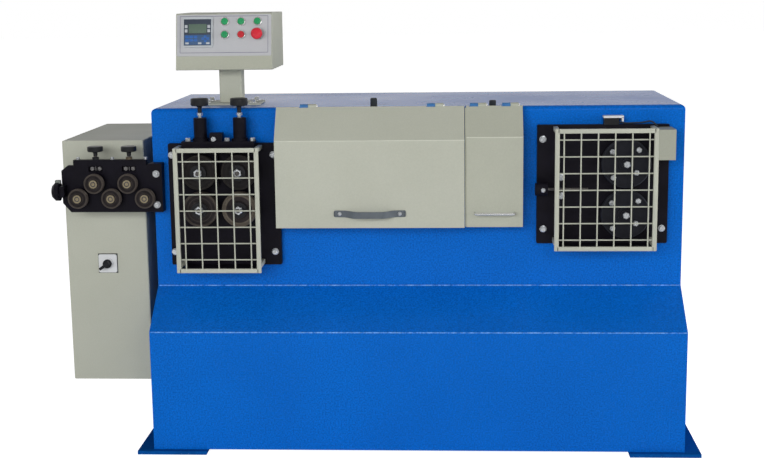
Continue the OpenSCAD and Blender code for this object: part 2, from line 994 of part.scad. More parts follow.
// The wire guide at the cutting unit's inlet: a clamped bush with a long tube.
module wire_guide() {
    color(black)
        placed() {
            translate([cut_x0, -wire_out, wire_z - guide_side / 2])
                cube([guide_side, wire_out - plate_t, guide_side]);
            rod_x(cut_x0 - guide_out, -wire_out, wire_z, guide_d, guide_len);
            rod_x(cut_x0 - guide_out, -wire_out, wire_z, tube_d,
                  disc_inset - disc_d / 2 - tube_end + guide_out);
        }
}

// The cream box beside the guard that houses its switch.
module guard_switch_cover() {
    color(cream)
        placed()
            translate([guard_cut_x + guard_cut_w, -guard_out,
                       cut_top + switch_box_up - switch_box_h])
                cube([switch_box_w, guard_out - plate_t, switch_box_h]);
}

// The safety switch on the cutting unit's upper edge, under its angle bracket.
module guard_switch() {
    color(black)
        placed() {
            translate([guard_cut_x + sensor_in, -plate_t - sensor_out, cut_top])
                cube([sensor_w, plate_t + sensor_out, sensor_h + past]);
            translate([guard_cut_x + sensor_in, -plate_t - sensor_out, cut_top + sensor_h])
                cube([bracket_w, plate_t + sensor_out, bracket_t]);
        }
}

// A folded sheet cover: a sloping band, an upright face, a lip and two end cheeks.
module cover_side(out, fold_z) {
    band = atan2(hinge_z - barrel_r - fold_z, out + hinge_y);
    polygon([[hinge_y - barrel_r + sheet_t, hinge_z], [hinge_y - barrel_r, hinge_z],
             [-out, fold_z], [-out, cover_z], [-out + lip, cover_z],
             [-out + lip, cover_z + sheet_t], [-out + sheet_t, cover_z + sheet_t],
             [-out + sheet_t, fold_z - sheet_t * tan((90 - band) / 2)]]);
}

module cover_cheek(out, fold_z) {
    polygon([[hinge_y - barrel_r + sheet_t, hinge_z - sheet_t], [-out, fold_z], [-out, cover_z],
             [cheek_y, cover_z], [cheek_y, hinge_z - barrel_r - cheek_drop]]);
}

module cover(x0, w, out, fold_z, hinges) {
    color(cream)
        placed()
            difference() {
                union() {
                    along(x0, w)
                        cover_side(out, fold_z);
                    for (x = [x0, x0 + w - sheet_t])
                        along(x, sheet_t)
                            cover_cheek(out, fold_z);
                    for (x = hinges)
                        rod_x(x + hinge_half + hinge_play, hinge_y, hinge_z, 2 * barrel_r,
                              hinge_half - hinge_play);
                }
                for (x = hinges) {
                    rod_x(x + hinge_half - past, hinge_y, hinge_z,
                          hinge_pin_d + 2 * run, hinge_half + 2 * past);
                    rod_x(x - 3, hinge_y, hinge_z, 2 * barrel_r + 3, hinge_half + 3 + hinge_play);
                }
                translate([x0 - past, -wire_out - slot_h / 2, wire_z - slot_h / 2])
                    cube([w + 2 * past, wire_out, slot_h]);
            }
}

module main_cover() {
    cover(cover_x0, main_w, main_out, main_fold_z, main_hinges);
}

module small_cover() {
    cover(small_x0, small_w, small_out, small_fold_z, small_hinges);
}

// The fixed hinge halves on the body's upper edge, with the pins of the covers.
module cover_hinges() {
    color(blue)
        placed()
            for (x = concat(main_hinges, small_hinges)) {
                rod_x(x, hinge_y, hinge_z, 2 * barrel_r, hinge_half - hinge_play);
                rod_x(x, hinge_y, hinge_z, hinge_pin_d, hinge_len + pin_end);
                translate([x, hinge_y, body_h])
                    cube([hinge_half - hinge_play, fold_r + leaf_in - hinge_y, leaf_t]);
            }
}

module cover_buffers() {
    color(black)
        placed() {
            translate([main_buffer_x, buffer_y, body_h])
                cylinder(d = buffer_d, h = buffer_main_h);
            translate([small_buffer_x, buffer_y, body_h])
                cylinder(d = buffer_d, h = buffer_small_h);
        }
}

// The black bow handle of the main cover, bent from flat strap: two feet, two slopes, a grip.
module main_cover_handle() {
    t = bow_t;
    end = bow_len / 2;
    grip = end - bow_foot - bow_run;
    low = grip + bow_run;
    slope = norm([bow_run, bow_rise - t]);
    k = t * (slope - bow_run) / (bow_rise - t);
    color(black)
        placed()
            translate([cover_x0 + main_w / 2, -main_out, cover_z + grip_up - bow_w / 2])
                linear_extrude(bow_w)
                    polygon([[-grip, -bow_rise], [grip, -bow_rise], [low, -t], [end, -t],
                             [end, 0], [low - k, 0], [grip - k, -bow_rise + t],
                             [k - grip, -bow_rise + t], [k - low, 0], [-end, 0], [-end, -t],
                             [-low, -t]]);
}

// The bright wire handle of the small cover: a straight rod with two bent legs.
module small_cover_handle() {
    turn = 10;
    half = pull_len / 2;
    color(steel)
        placed()
            translate([small_x0 + small_w / 2, -small_out, cover_z + grip_up]) {
                rod_x(-half + turn, -pull_rise, 0, pull_d, pull_len - 2 * turn);
                for (side = [-1, 1]) {
                    rod_y(side * half, -pull_rise + turn, 0, pull_d, pull_rise - turn);
                    translate([side * (half - turn), -pull_rise + turn, 0])
                        rotate([0, 0, side > 0 ? -90 : 180])
                            rotate_extrude(angle = 90)
                                translate([turn, 0])
                                    circle(d = pull_d);
                }
            }
}

// The upright tube that carries the control box, on its screwed base plate.
module control_column() {
    color(cream)
        placed() {
            translate([column_x - base_w / 2, base_y, body_h])
                linear_extrude(column_base_t)
                    round_rect(base_w, base_d, base_r);
            translate([column_x - column_w / 2, column_y - column_d / 2, body_h])
                linear_extrude(column_base_t + column_h)
                    round_rect(column_w, column_d, column_r);
        }
}

// The sheet box of the controls, with a face that leans back.
module control_box() {
    color(cream)
        placed()
            along(ctrl_x - ctrl_w / 2, ctrl_w)
                folded([[ctrl_back, ctrl_z], [ctrl_back + ctrl_d, ctrl_z],
                        [ctrl_back + ctrl_d, ctrl_z + ctrl_h],
                        [ctrl_back + ctrl_lean, ctrl_z + ctrl_h]],
                       [ctrl_r, ctrl_r, ctrl_r, ctrl_r]);
}

// Sets a piece on the leaning face, from the middle of the face's lower edge.
module on_face(x, z, out = 0) {
    placed()
        translate([ctrl_x, ctrl_back, ctrl_z])
            rotate([-ctrl_tilt, 0, 0])
                translate([x, -out, z])
                    children();
}

module control_panel() {
    color(grey)
        on_face(-film_w / 2, film_z)
            front(-film_t, film_t)
                round_rect(film_w, film_h, film_r);
}

module display_unit() {
    color(iron)
        on_face(display_x, display_z, film_t)
            front(-display_t, display_t)
                round_rect(display_w, display_h, display_r);
}

// One push-button: a round rim with a shallow cap in front of it.
module push_button(x, z) {
    r = button_d / 2;
    cap = r - cap_in;
    on_face(x, z, film_t)
        rotate([90, 0, 0])
            rotate_extrude()
                polygon([[0, 0], [r, 0], [r, rim_h - 2], [r - 2, rim_h], [cap, rim_h],
                         [cap, button_h - 1], [cap - 1.5, button_h], [0, button_h]]);
}

module start_buttons() {
    color(green) {
        push_button(button_x[0], button_rows[0]);
        for (x = button_x)
            push_button(x, button_rows[1]);
    }
}

module stop_button() {
    color(red)
        push_button(button_x[1], button_rows[0]);
}

module emergency_stop() {
    color(red)
        on_face(button_x[2], button_rows[0], film_t)
            rotate([90, 0, 0])
                rotate_extrude()
                    polygon([[0, 0], [collar_d / 2, 0], [collar_d / 2, collar_h],
                             [neck_d / 2, collar_h + 2], [neck_d / 2, neck_h],
                             [stop_d / 2 - 2, neck_h + 2], [stop_d / 2, neck_h + 4],
                             [stop_d / 2, stop_h - 5], [stop_d / 2 - 4, stop_h - 1],
                             [0, stop_h]]);
}

cabinet();
foot_plates();
electrical_cabinet();
spacer_rails();
main_switch_plate();
main_switch_handle();
feed_plate();
pressure_slides();
feed_bridge();
spring_housings();
pressure_screws();
pressure_knobs();
feed_roll_upper_left();
feed_roll_upper_right();
feed_roll_lower_left();
feed_roll_lower_right();
feed_guard();
head_plate();
head_top_bar();
adjusting_screws();
roller_pins();
straightening_roller_1();
straightening_roller_2();
straightening_roller_3();
straightening_roller_4();
straightening_roller_5();
inlet_guide();
cutter_plate();
cutter_disc_upper();
cutter_disc_lower();
wire_guide();
cutter_guard();
guard_switch_cover();
guard_switch();
main_cover();
main_cover_handle();
small_cover();
small_cover_handle();
cover_hinges();
cover_buffers();
control_column();
control_box();
control_panel();
display_unit();
start_buttons();
stop_button();
emergency_stop();
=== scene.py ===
"""Looks of a wire straightening and cutting machine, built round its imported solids."""

import logging
import math
from dataclasses import dataclass
from enum import Enum
from typing import Optional, Sequence

import bmesh
import bpy
from mathutils import Matrix, Vector


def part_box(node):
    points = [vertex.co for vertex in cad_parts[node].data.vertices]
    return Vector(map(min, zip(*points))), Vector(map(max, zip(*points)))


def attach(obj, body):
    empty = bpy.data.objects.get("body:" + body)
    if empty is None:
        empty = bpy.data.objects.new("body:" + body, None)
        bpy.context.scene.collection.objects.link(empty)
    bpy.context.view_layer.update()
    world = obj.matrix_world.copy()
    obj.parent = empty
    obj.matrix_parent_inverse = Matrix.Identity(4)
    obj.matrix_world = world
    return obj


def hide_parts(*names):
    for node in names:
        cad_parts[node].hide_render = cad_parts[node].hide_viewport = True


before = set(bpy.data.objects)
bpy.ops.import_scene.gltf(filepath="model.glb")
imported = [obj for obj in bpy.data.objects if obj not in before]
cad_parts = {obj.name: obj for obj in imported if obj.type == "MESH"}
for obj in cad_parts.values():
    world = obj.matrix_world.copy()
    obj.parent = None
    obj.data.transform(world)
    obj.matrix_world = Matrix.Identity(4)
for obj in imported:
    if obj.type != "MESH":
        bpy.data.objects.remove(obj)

LOG = logging.getLogger("machine")
MM = 0.001
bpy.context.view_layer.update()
MACHINE = "machine"
PLATE_Y = -20.0
WELD_LAP = 0.6

# The body's own axes: X from its middle, Y from its upper front, Z from the floor.
BODY_LOW, BODY_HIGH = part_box("cabinet")
FRONT_X = (BODY_LOW.x + BODY_HIGH.x) / 2
FRONT_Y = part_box("feed_plate")[1].y

BACK = Vector((0, 1, 0))
FORTH = Vector((0, -1, 0))
UP = Vector((0, 0, 1))
RIGHT = Vector((1, 0, 0))


def at(x: float, y: float, z: float) -> Vector:
    """A point given in millimetres on the body's own axes.

    Args:
        x: distance to the right of the body's middle.
        y: distance behind the body's upper front.
        z: height over the floor.

    Returns:
        The point in the frame's metres.
    """
    return Vector((FRONT_X + x * MM, FRONT_Y + y * MM, z * MM))


def middle(node: str) -> Vector:
    """The middle of a solid's box, in metres."""
    low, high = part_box(node)
    return (low + high) / 2


def linear(code: str) -> tuple[float, float, float, float]:
    """Turns an sRGB hex colour to a linear one.

    Args:
        code: six hex digits, such as "1565be".

    Returns:
        Red, green, blue and an alpha of one.
    """
    parts = [int(code[i:i + 2], 16) / 255 for i in (0, 2, 4)]
    r, g, b = (c / 12.92 if c <= 0.04045 else ((c + 0.055) / 1.055) ** 2.4 for c in parts)
    return (r, g, b, 1.0)


def add_node(tree: bpy.types.NodeTree, kind: str, values: Optional[dict] = None,
             links: Optional[dict] = None, **settings: object) -> bpy.types.Node:
    """Adds one shader node with its settings, socket values and links.

    Args:
        tree: the node tree that gets the node.
        kind: the node's type name.
        values: constants, by socket name or number.
        links: source sockets, by socket name or number.
        **settings: the node's own properties.

    Returns:
        The new node.
    """
    made = tree.nodes.new(kind)
    for key, value in settings.items():
        setattr(made, key, value)
    for key, value in (values or {}).items():
        made.inputs[key].default_value = value
    for key, source in (links or {}).items():
        tree.links.new(source, made.inputs[key])
    return made


def grain(size_mm: float) -> float:
    """The texture scale that gives features of a real size."""
    return 1.0 / (size_mm * MM)


@dataclass(frozen=True)
class Finish:
    """A surface: its colour, its gloss, and the fine and broad marks on it.

    Attributes:
        name: common name of the material.
        colour: sRGB hex of the clean surface.
        shade: sRGB hex that broad mottling leans to.
        mottle_mm: size of the broad mottling.
        mottle: how strongly the mottling shows, from 0 to 1.
        metallic: 0 for paint and plastic, 1 for bare metal.
        rough: mean roughness.
        rough_swing: how far roughness strays from its mean.
        grain_mm: size of the fine surface grain.
        grain_deep_mm: height of that grain.
        coat: strength of a clear gloss layer.
        specular: strength of the surface reflection of paint and plastic.
        fleck: how far the fine grain lightens and darkens the colour, from 0 to 1.
    """

    name: str
    colour: str
    shade: str
    mottle_mm: float = 180.0
    mottle: float = 0.5
    metallic: float = 0.0
    rough: float = 0.4
    rough_swing: float = 0.08
    grain_mm: float = 4.0
    grain_deep_mm: float = 0.05
    coat: float = 0.0
    specular: float = 0.5
    fleck: float = 0.0

    def start(self, label: str) -> tuple[bpy.types.Material, bpy.types.NodeTree,
                                         bpy.types.Node, bpy.types.Node]:
        """Makes an empty material with its shader and its Object coordinates.

        Args:
            label: name of the new material.

        Returns:
            The material, its tree, its shader and its coordinates node.
        """
        material = bpy.data.materials.new(label)
        material.use_nodes = True
        tree = material.node_tree
        tree.nodes.clear()
        shader = add_node(tree, "ShaderNodeBsdfPrincipled",
                          {"Metallic": self.metallic, "Roughness": self.rough,
                           "Coat Weight": self.coat, "Coat Roughness": 0.12})
        if self.metallic == 0.0:
            shader.inputs["Specular IOR Level"].default_value = self.specular
        add_node(tree, "ShaderNodeOutputMaterial", links={"Surface": shader.outputs["BSDF"]})
        coords = add_node(tree, "ShaderNodeTexCoord")
        return material, tree, shader, coords

    def material(self, label: str = "") -> bpy.types.Material:
        """Builds the material: mottled colour, uneven gloss and a fine grain.

        Args:
            label: name of the material, or the finish's own name.

        Returns:
            The material, which is made once for each label.
        """
        label = label or self.name
        found = bpy.data.materials.get(label)
        if found:
            return found
        material, tree, shader, coords = self.start(label)
        place = coords.outputs["Object"]
        self.grain_in(tree, shader, place, self.colour_in(tree, shader, place))
        return material

    def colour_in(self, tree: bpy.types.NodeTree, shader: bpy.types.Node,
                  place: bpy.types.NodeSocket) -> bpy.types.NodeSocket:
        """Links the mottled colour and the uneven gloss to the shader.

        Args:
            tree: the material's node tree.
            shader: the shader that gets them.
            place: the Object coordinates.

        Returns:
            The socket that gives the mottled colour.
        """
        broad = add_node(tree, "ShaderNodeTexNoise",
                         {"Scale": grain(self.mottle_mm), "Detail": 5.0, "Roughness": 0.6},
                         {"Vector": place})
        reach = add_node(tree, "ShaderNodeMapRange",
                         {"From Min": 0.35, "From Max": 0.75, "To Min": 0.0,
                          "To Max": self.mottle}, {"Value": broad.outputs["Fac"]})
        mix = add_node(tree, "ShaderNodeMix", data_type="RGBA",
                       links={"Factor": reach.outputs["Result"]})
        mix.inputs[6].default_value = linear(self.colour)
        mix.inputs[7].default_value = linear(self.shade)
        tree.links.new(mix.outputs[2], shader.inputs["Base Color"])
        gloss = add_node(tree, "ShaderNodeMapRange",
                         {"From Min": 0.3, "From Max": 0.7,
                          "To Min": max(0.02, self.rough - self.rough_swing),
                          "To Max": self.rough + self.rough_swing},
                         {"Value": broad.outputs["Fac"]})
        tree.links.new(gloss.outputs["Result"], shader.inputs["Roughness"])
        return mix.outputs[2]

    def grain_in(self, tree: bpy.types.NodeTree, shader: bpy.types.Node,
                 place: bpy.types.NodeSocket, colour: bpy.types.NodeSocket) -> None:
        """Links the fine grain to the shader as a bump, and as flecks in the colour.

        Args:
            tree: the material's node tree.
            shader: the shader that gets them.
            place: the Object coordinates.
            colour: the socket that gives the mottled colour.
        """
        fine = add_node(tree, "ShaderNodeTexNoise",
                        {"Scale": grain(self.grain_mm), "Detail": 2.0}, {"Vector": place})
        bump = add_node(tree, "ShaderNodeBump",
                        {"Strength": 1.0, "Distance": self.grain_deep_mm * MM},
                        {"Height": fine.outputs["Fac"]})
        tree.links.new(bump.outputs["Normal"], shader.inputs["Normal"])
        if self.fleck:
            light = add_node(tree, "ShaderNodeMapRange",
                             {"From Min": 0.3, "From Max": 0.7, "To Min": 1.0 - self.fleck,
                              "To Max": 1.0 + self.fleck}, {"Value": fine.outputs["Fac"]})
            flecked = add_node(tree, "ShaderNodeVectorMath", operation="MULTIPLY",
                               links={0: colour, 1: light.outputs["Result"]})
            tree.links.new(flecked.outputs["Vector"], shader.inputs["Base Color"])


@dataclass(frozen=True)
class TurnedFinish(Finish):
    """Steel faced on a lathe: rings of tool marks round an axis along the depth.

    Attributes:
        ring_mm: spacing of the tool marks.
        ring_deep_mm: height of the tool marks.
        rim: sRGB hex of the worn outer rim, and of the scored circles within it.
        score_mm: spacing of the scored circles.
        score: how strongly the circles show, from 0 to 1.
    """

    ring_mm: float = 1.6
    ring_deep_mm: float = 0.06
    rim: str = "5d564f"
    score_mm: float = 5.5
    score: float = 0.0

    def turned(self, label: str, centre: Vector, rim_mm: float) -> bpy.types.Material:
        """Builds the material with its rings round one centre.

        Args:
            label: name of the material.
            centre: a point on the axis.
            rim_mm: radius at which the worn rim starts.

        Returns:
            The material.
        """
        material, tree, shader, coords = self.start(label)
        place = coords.outputs["Object"]
        face = self.colour_in(tree, shader, place)
        flat = add_node(tree, "ShaderNodeVectorMath", {1: tuple(centre)}, {0: place},
                        operation="SUBTRACT")
        flat = add_node(tree, "ShaderNodeVectorMath", {1: (1.0, 0.0, 1.0)},
                        {0: flat.outputs[0]}, operation="MULTIPLY")
        radius = add_node(tree, "ShaderNodeVectorMath", links={0: flat.outputs[0]},
                          operation="LENGTH")
        worn = add_node(tree, "ShaderNodeMapRange",
                        {"From Min": (rim_mm - 0.6) * MM, "From Max": (rim_mm + 0.6) * MM},
                        {"Value": radius.outputs["Value"]})
        turns = add_node(tree, "ShaderNodeMath", {1: self.score_mm * MM},
                         {0: radius.outputs["Value"]}, operation="DIVIDE")
        turns = add_node(tree, "ShaderNodeMath", {1: 1.0}, {0: turns.outputs[0]},
                         operation="PINGPONG")
        scored = add_node(tree, "ShaderNodeMapRange",
                          {"From Min": 0.66, "From Max": 0.86, "To Max": self.score},
                          {"Value": turns.outputs[0]})
        worn = add_node(tree, "ShaderNodeMath", operation="MAXIMUM",
                        links={0: worn.outputs["Result"], 1: scored.outputs["Result"]})
        mix = add_node(tree, "ShaderNodeMix", data_type="RGBA",
                       links={"Factor": worn.outputs[0], 6: face})
        mix.inputs[7].default_value = linear(self.rim)
        tree.links.new(mix.outputs[2], shader.inputs["Base Color"])
        rings = add_node(tree, "ShaderNodeTexNoise",
                         {"Scale": grain(self.ring_mm), "Detail": 2.0},
                         {"W": radius.outputs["Value"]}, noise_dimensions="1D")
        bump = add_node(tree, "ShaderNodeBump",
                        {"Strength": 1.0, "Distance": self.ring_deep_mm * MM},
                        {"Height": rings.outputs["Fac"]})
        tree.links.new(bump.outputs["Normal"], shader.inputs["Normal"])
        return material


class Look(Enum):
    """The finishes of the machine, most from what the real surface is; some carry painted highlight
    or painted shade.
    """

    # Hammered gloss enamel on sheet steel: a fine dimpled orange peel that breaks up the light.
    # The dimples are drawn about twice their real size, so that they show.
    BLUE = Finish("blue_hammered_enamel", "0762c0", "0557ae", 420, 0.55, rough=0.26,
                  rough_swing=0.05, grain_mm=5.0, grain_deep_mm=0.08, specular=0.08, fleck=0.24)
    # The same enamel on the foot plates, dulled by the dust of the floor and drawn darker as
    # painted shade low by the floor.
    BLUE_FOOT = Finish("blue_enamel_foot", "0a4d94", "08417e", 120, 0.6, rough=0.75,
                       rough_swing=0.05, grain_mm=7.0, grain_deep_mm=0.09, specular=0.0,
                       fleck=0.12)
    # The same enamel on the hinges, drawn paler and greyer.
    BLUE_HINGE = Finish("blue_enamel_worn", "3f74aa", "2c6099", 12, 0.8, rough=0.4,
                        rough_swing=0.08, grain_mm=3.0, grain_deep_mm=0.05, specular=0.3,
                        fleck=0.2)
    # Painted highlight: enamel drawn bright along a folded edge, where the fold catches the light.
    BLUE_EDGE = Finish("blue_folded_edge", "1f6fcb", "86b8ee", 16, 1.0, rough=0.3,
                       rough_swing=0.08, grain_mm=5.0, grain_deep_mm=0.05, specular=0.3,
                       fleck=0.3)
    # Powder coat on sheet steel: a fine pebbled, half-matt surface, its pebbles drawn coarser.
    CREAM = Finish("cream_powder_coat", "b3b5a8", "a9ab9d", 300, 0.5, rough=0.48,
                   rough_swing=0.05, grain_mm=4.0, grain_deep_mm=0.06, specular=0.25, fleck=0.03)
    # The same coat, drawn slightly darker, on the smaller boxes and the small cover.
    CREAM_DIM = Finish("cream_powder_coat_dim", "acaea0", "a2a496", 300, 0.5, rough=0.48,
                       rough_swing=0.05, grain_mm=4.0, grain_deep_mm=0.06, specular=0.25,
                       fleck=0.03)
    # The same coat in the shade of the guard, on the switch's cover.
    CREAM_SHADE = Finish("cream_powder_coat_shade", "9d9f92", "939588", 300, 0.5, rough=0.48,
                         rough_swing=0.05, grain_mm=4.0, grain_deep_mm=0.06, specular=0.25,
                         fleck=0.03)
    # Chemically blackened steel plate: near black, faintly violet, lightly oiled.
    BLACKED = Finish("blackened_steel", "0e0c13", "1a1821", 60, 0.7, rough=0.42,
                     rough_swing=0.12, grain_mm=2.2, grain_deep_mm=0.03, specular=0.13)
    # Hardened tool steel with wear and old oil on its faces.
    DARK_STEEL = TurnedFinish("hardened_steel", "342f30", "242122", 22, 0.9, metallic=0.75,
                              rough=0.42, rough_swing=0.12, rim="544d48", score=0.5)
    # The same steel, drawn darker on the upper rolls.
    OILED_STEEL = TurnedFinish("oiled_roll_steel", "211e1f", "181617", 22, 0.9, metallic=0.6,
                               rough=0.45, rough_swing=0.12, rim="2b2826", score=0.5)
    # Blued tool steel: dark, cold grey, with an oily sheen.
    BLUED_STEEL = TurnedFinish("blued_steel", "1d1e26", "15161c", 40, 0.8, metallic=0.6,
                               rough=0.45, rough_swing=0.12, rim="292b33")
    # Hardened steel roll whose rim the wire has ground bright, with a tinge of rust.
    BARE_STEEL = TurnedFinish("ground_steel", "3b3535", "282425", 26, 0.8, metallic=0.75,
                              rough=0.45, rough_swing=0.1, rim="6b6359")
    # Bright zinc plate on bolts and nuts: pale, slightly clouded metal.
    ZINC = Finish("zinc_plate", "dcdfe2", "b2b7bc", 6, 0.6, metallic=0.9, rough=0.3,
                  rough_swing=0.1, grain_mm=1.2, grain_deep_mm=0.02)
    # Plain steel, worn pale at its edges.
    STUD = Finish("worn_steel", "8d8b8a", "6f6d6d", 6, 0.7, metallic=0.8, rough=0.42,
                  rough_swing=0.1, grain_mm=1.2, grain_deep_mm=0.02)
    # Plain steel gone dark with oil.
    DULL = Finish("oiled_steel", "6d6a68", "4c4a4a", 6, 0.7, metallic=0.9, rough=0.4,
                  rough_swing=0.1, grain_mm=1.2, grain_deep_mm=0.02)
    # Pale greyish block on the inlet bush: bare steel, clouded.
    PAD = Finish("clouded_steel", "7d827d", "6a6f6b", 9, 0.6, metallic=0.3, rough=0.5,
                 rough_swing=0.08, grain_mm=1.0, grain_deep_mm=0.02)
    # Bearing bronze, dulled by oil.
    BRONZE = Finish("bearing_bronze", "7b705e", "564c40", 8, 0.8, metallic=0.8, rough=0.4,
                    rough_swing=0.1, grain_mm=1.0, grain_deep_mm=0.03)
    # Bearing bronze, worn bright.
    PIN = Finish("worn_bronze", "b0a386", "8d8169", 6, 0.7, metallic=0.8, rough=0.42,
                 rough_swing=0.1, grain_mm=1.0, grain_deep_mm=0.03)
    # Polished chrome plate.
    CHROME = Finish("chrome_plate", "e2e3e2", "d0d2d3", 30, 0.4, metallic=0.75, rough=0.2,
                    rough_swing=0.04, grain_mm=8.0, grain_deep_mm=0.01)
    # Painted highlight: powder coat drawn pale along a folded edge, where the fold catches the
    # light.
    RUBBED = Finish("rubbed_edge", "d4d6ca", "c6c8bb", 60, 0.9, rough=0.4, rough_swing=0.06,
                    grain_mm=2.0, grain_deep_mm=0.02, specular=0.4)
    # Moulded phenolic: black with a low sheen and a fine mould texture.
    PHENOLIC = Finish("black_phenolic", "16171a", "202125", 14, 0.6, rough=0.44,
                      rough_swing=0.08, grain_mm=0.9, grain_deep_mm=0.03, specular=0.35)
    # Rubber: matt, slightly greyed.
    RUBBER = Finish("black_rubber", "22262a", "31363b", 9, 0.7, rough=0.72, rough_swing=0.08,
                    grain_mm=0.8, grain_deep_mm=0.05)
    # Grey-black textured strap of the bow handle.
    STRAP = Finish("painted_strap", "5c6369", "4c5257", 24, 0.6, rough=0.46, rough_swing=0.08,
                   grain_mm=1.0, grain_deep_mm=0.05)
    # Pale moulded plastic of the main switch plate.
    PALE = Finish("pale_plastic", "d3d5d6", "c6c9cb", 20, 0.4, rough=0.4, rough_swing=0.06,
                  grain_mm=0.9, grain_deep_mm=0.02)
    # Printed polyester film with a satin face.
    FILM = Finish("printed_polyester_film", "b5b6b9", "adaeb2", 40, 0.4, rough=0.42,
                  rough_swing=0.05, grain_mm=0.8, grain_deep_mm=0.01, specular=0.25)
    # Black-blue printed face of the display unit.
    KEYFIELD = Finish("display_face", "3a4250", "323945", 16, 0.5, rough=0.35,
                      rough_swing=0.05, grain_mm=0.8, grain_deep_mm=0.01)
    # Grey-green liquid crystal behind a clear window.
    CRYSTAL = Finish("display_glass", "5d6f63", "526358", 14, 0.5, rough=0.3,
                     rough_swing=0.04, grain_mm=9.0, grain_deep_mm=0.01, specular=0.3)
    # Blue printed keys.
    BLUE_KEY = Finish("blue_keys", "3566ac", "2b5593", 6, 0.5, rough=0.36, rough_swing=0.05,
                      grain_mm=0.8, grain_deep_mm=0.01)
    # Darker blue print under the keys.
    BLUE_FIELD = Finish("blue_print", "3f5b80", "385374", 8, 0.5, rough=0.36, rough_swing=0.05,
                        grain_mm=0.8, grain_deep_mm=0.01)
    # Pale printed keys.
    PALE_KEY = Finish("pale_keys", "b4b9bd", "a6acb1", 6, 0.5, rough=0.36, rough_swing=0.05,
                      grain_mm=0.8, grain_deep_mm=0.01)
    # Dark printed line on the film.
    INK = Finish("printed_line", "6f6f82", "626276", 20, 0.4, rough=0.42, rough_swing=0.05,
                 grain_mm=0.8, grain_deep_mm=0.01)
    # Glossy green lens of a push-button.
    GREEN = Finish("green_lens", "149457", "0f8049", 8, 0.5, rough=0.16, rough_swing=0.05,
                   grain_mm=3.0, grain_deep_mm=0.01, coat=0.6)
    # Glossy red lens of a push-button.
    RED = Finish("red_lens", "c41d2b", "ad1724", 8, 0.5, rough=0.16, rough_swing=0.05,
                 grain_mm=3.0, grain_deep_mm=0.01, coat=0.6)
    # Moulded red head of the emergency stop.
    STOP_RED = Finish("stop_red", "cf1e31", "b8172a", 10, 0.5, rough=0.3, rough_swing=0.06,
                      grain_mm=1.2, grain_deep_mm=0.02, coat=0.3)


class Slot(str, Enum):
    """The record's material slots."""

    BLUE = "blue_paint"
    CREAM = "cream_paint"
    BLACKED = "black_oxide"
    DARK_STEEL = "dark_steel"
    BARE_STEEL = "bare_steel"
    ZINC = "zinc"
    BRONZE = "bronze"
    CHROME = "chrome"
    RUBBER = "rubber"
    BLACK_PLASTIC = "black_plastic"
    GREY_PLASTIC = "grey_plastic"
    FILM = "panel_film"
    DISPLAY = "display"
    GREEN = "green_plastic"
    RED = "red_plastic"


def paint(node: str, material: bpy.types.Material) -> None:
    """Gives a solid of the frame its finished material.

    Args:
        node: name of the solid.
        material: the material it shows.
    """
    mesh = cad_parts[node].data
    mesh.materials.clear()
    mesh.materials.append(material)
    for polygon in mesh.polygons:
        polygon.material_index = 0


@dataclass(frozen=True)
class HexHead:
    """A hexagon head or nut, in millimetres.

    Attributes:
        flats: width over the flats.
        h: height of the head.
        washer: diameter of the washer, or 0.
        washer_h: thickness of the washer.
        chamfer: size of the chamfer as a share of the height.
    """

    flats: float
    h: float
    washer: float = 0.0
    washer_h: float = 2.0
    chamfer: float = 0.14


class Bolt(Enum):
    """The kinds of hexagon bolts and nuts on the machine."""

    HEAD_PLATE = HexHead(17, 8, 23)
    WINDOW = HexHead(13, 5)
    LOCK_NUT = HexHead(19, 9)
    ROLL_NUT = HexHead(24.6, 8.4)
    UNIT_PLATE = HexHead(17, 9, 22)
    BRIDGE = HexHead(15, 11)
    BLOCK = HexHead(15, 8)
    DISC = HexHead(16, 9)
    DISC_MIDDLE = HexHead(19, 9)
    CLAMP = HexHead(17, 10, 22)
    GUIDE = HexHead(13, 8)
    COLUMN = HexHead(15, 10, 24, 1.6)


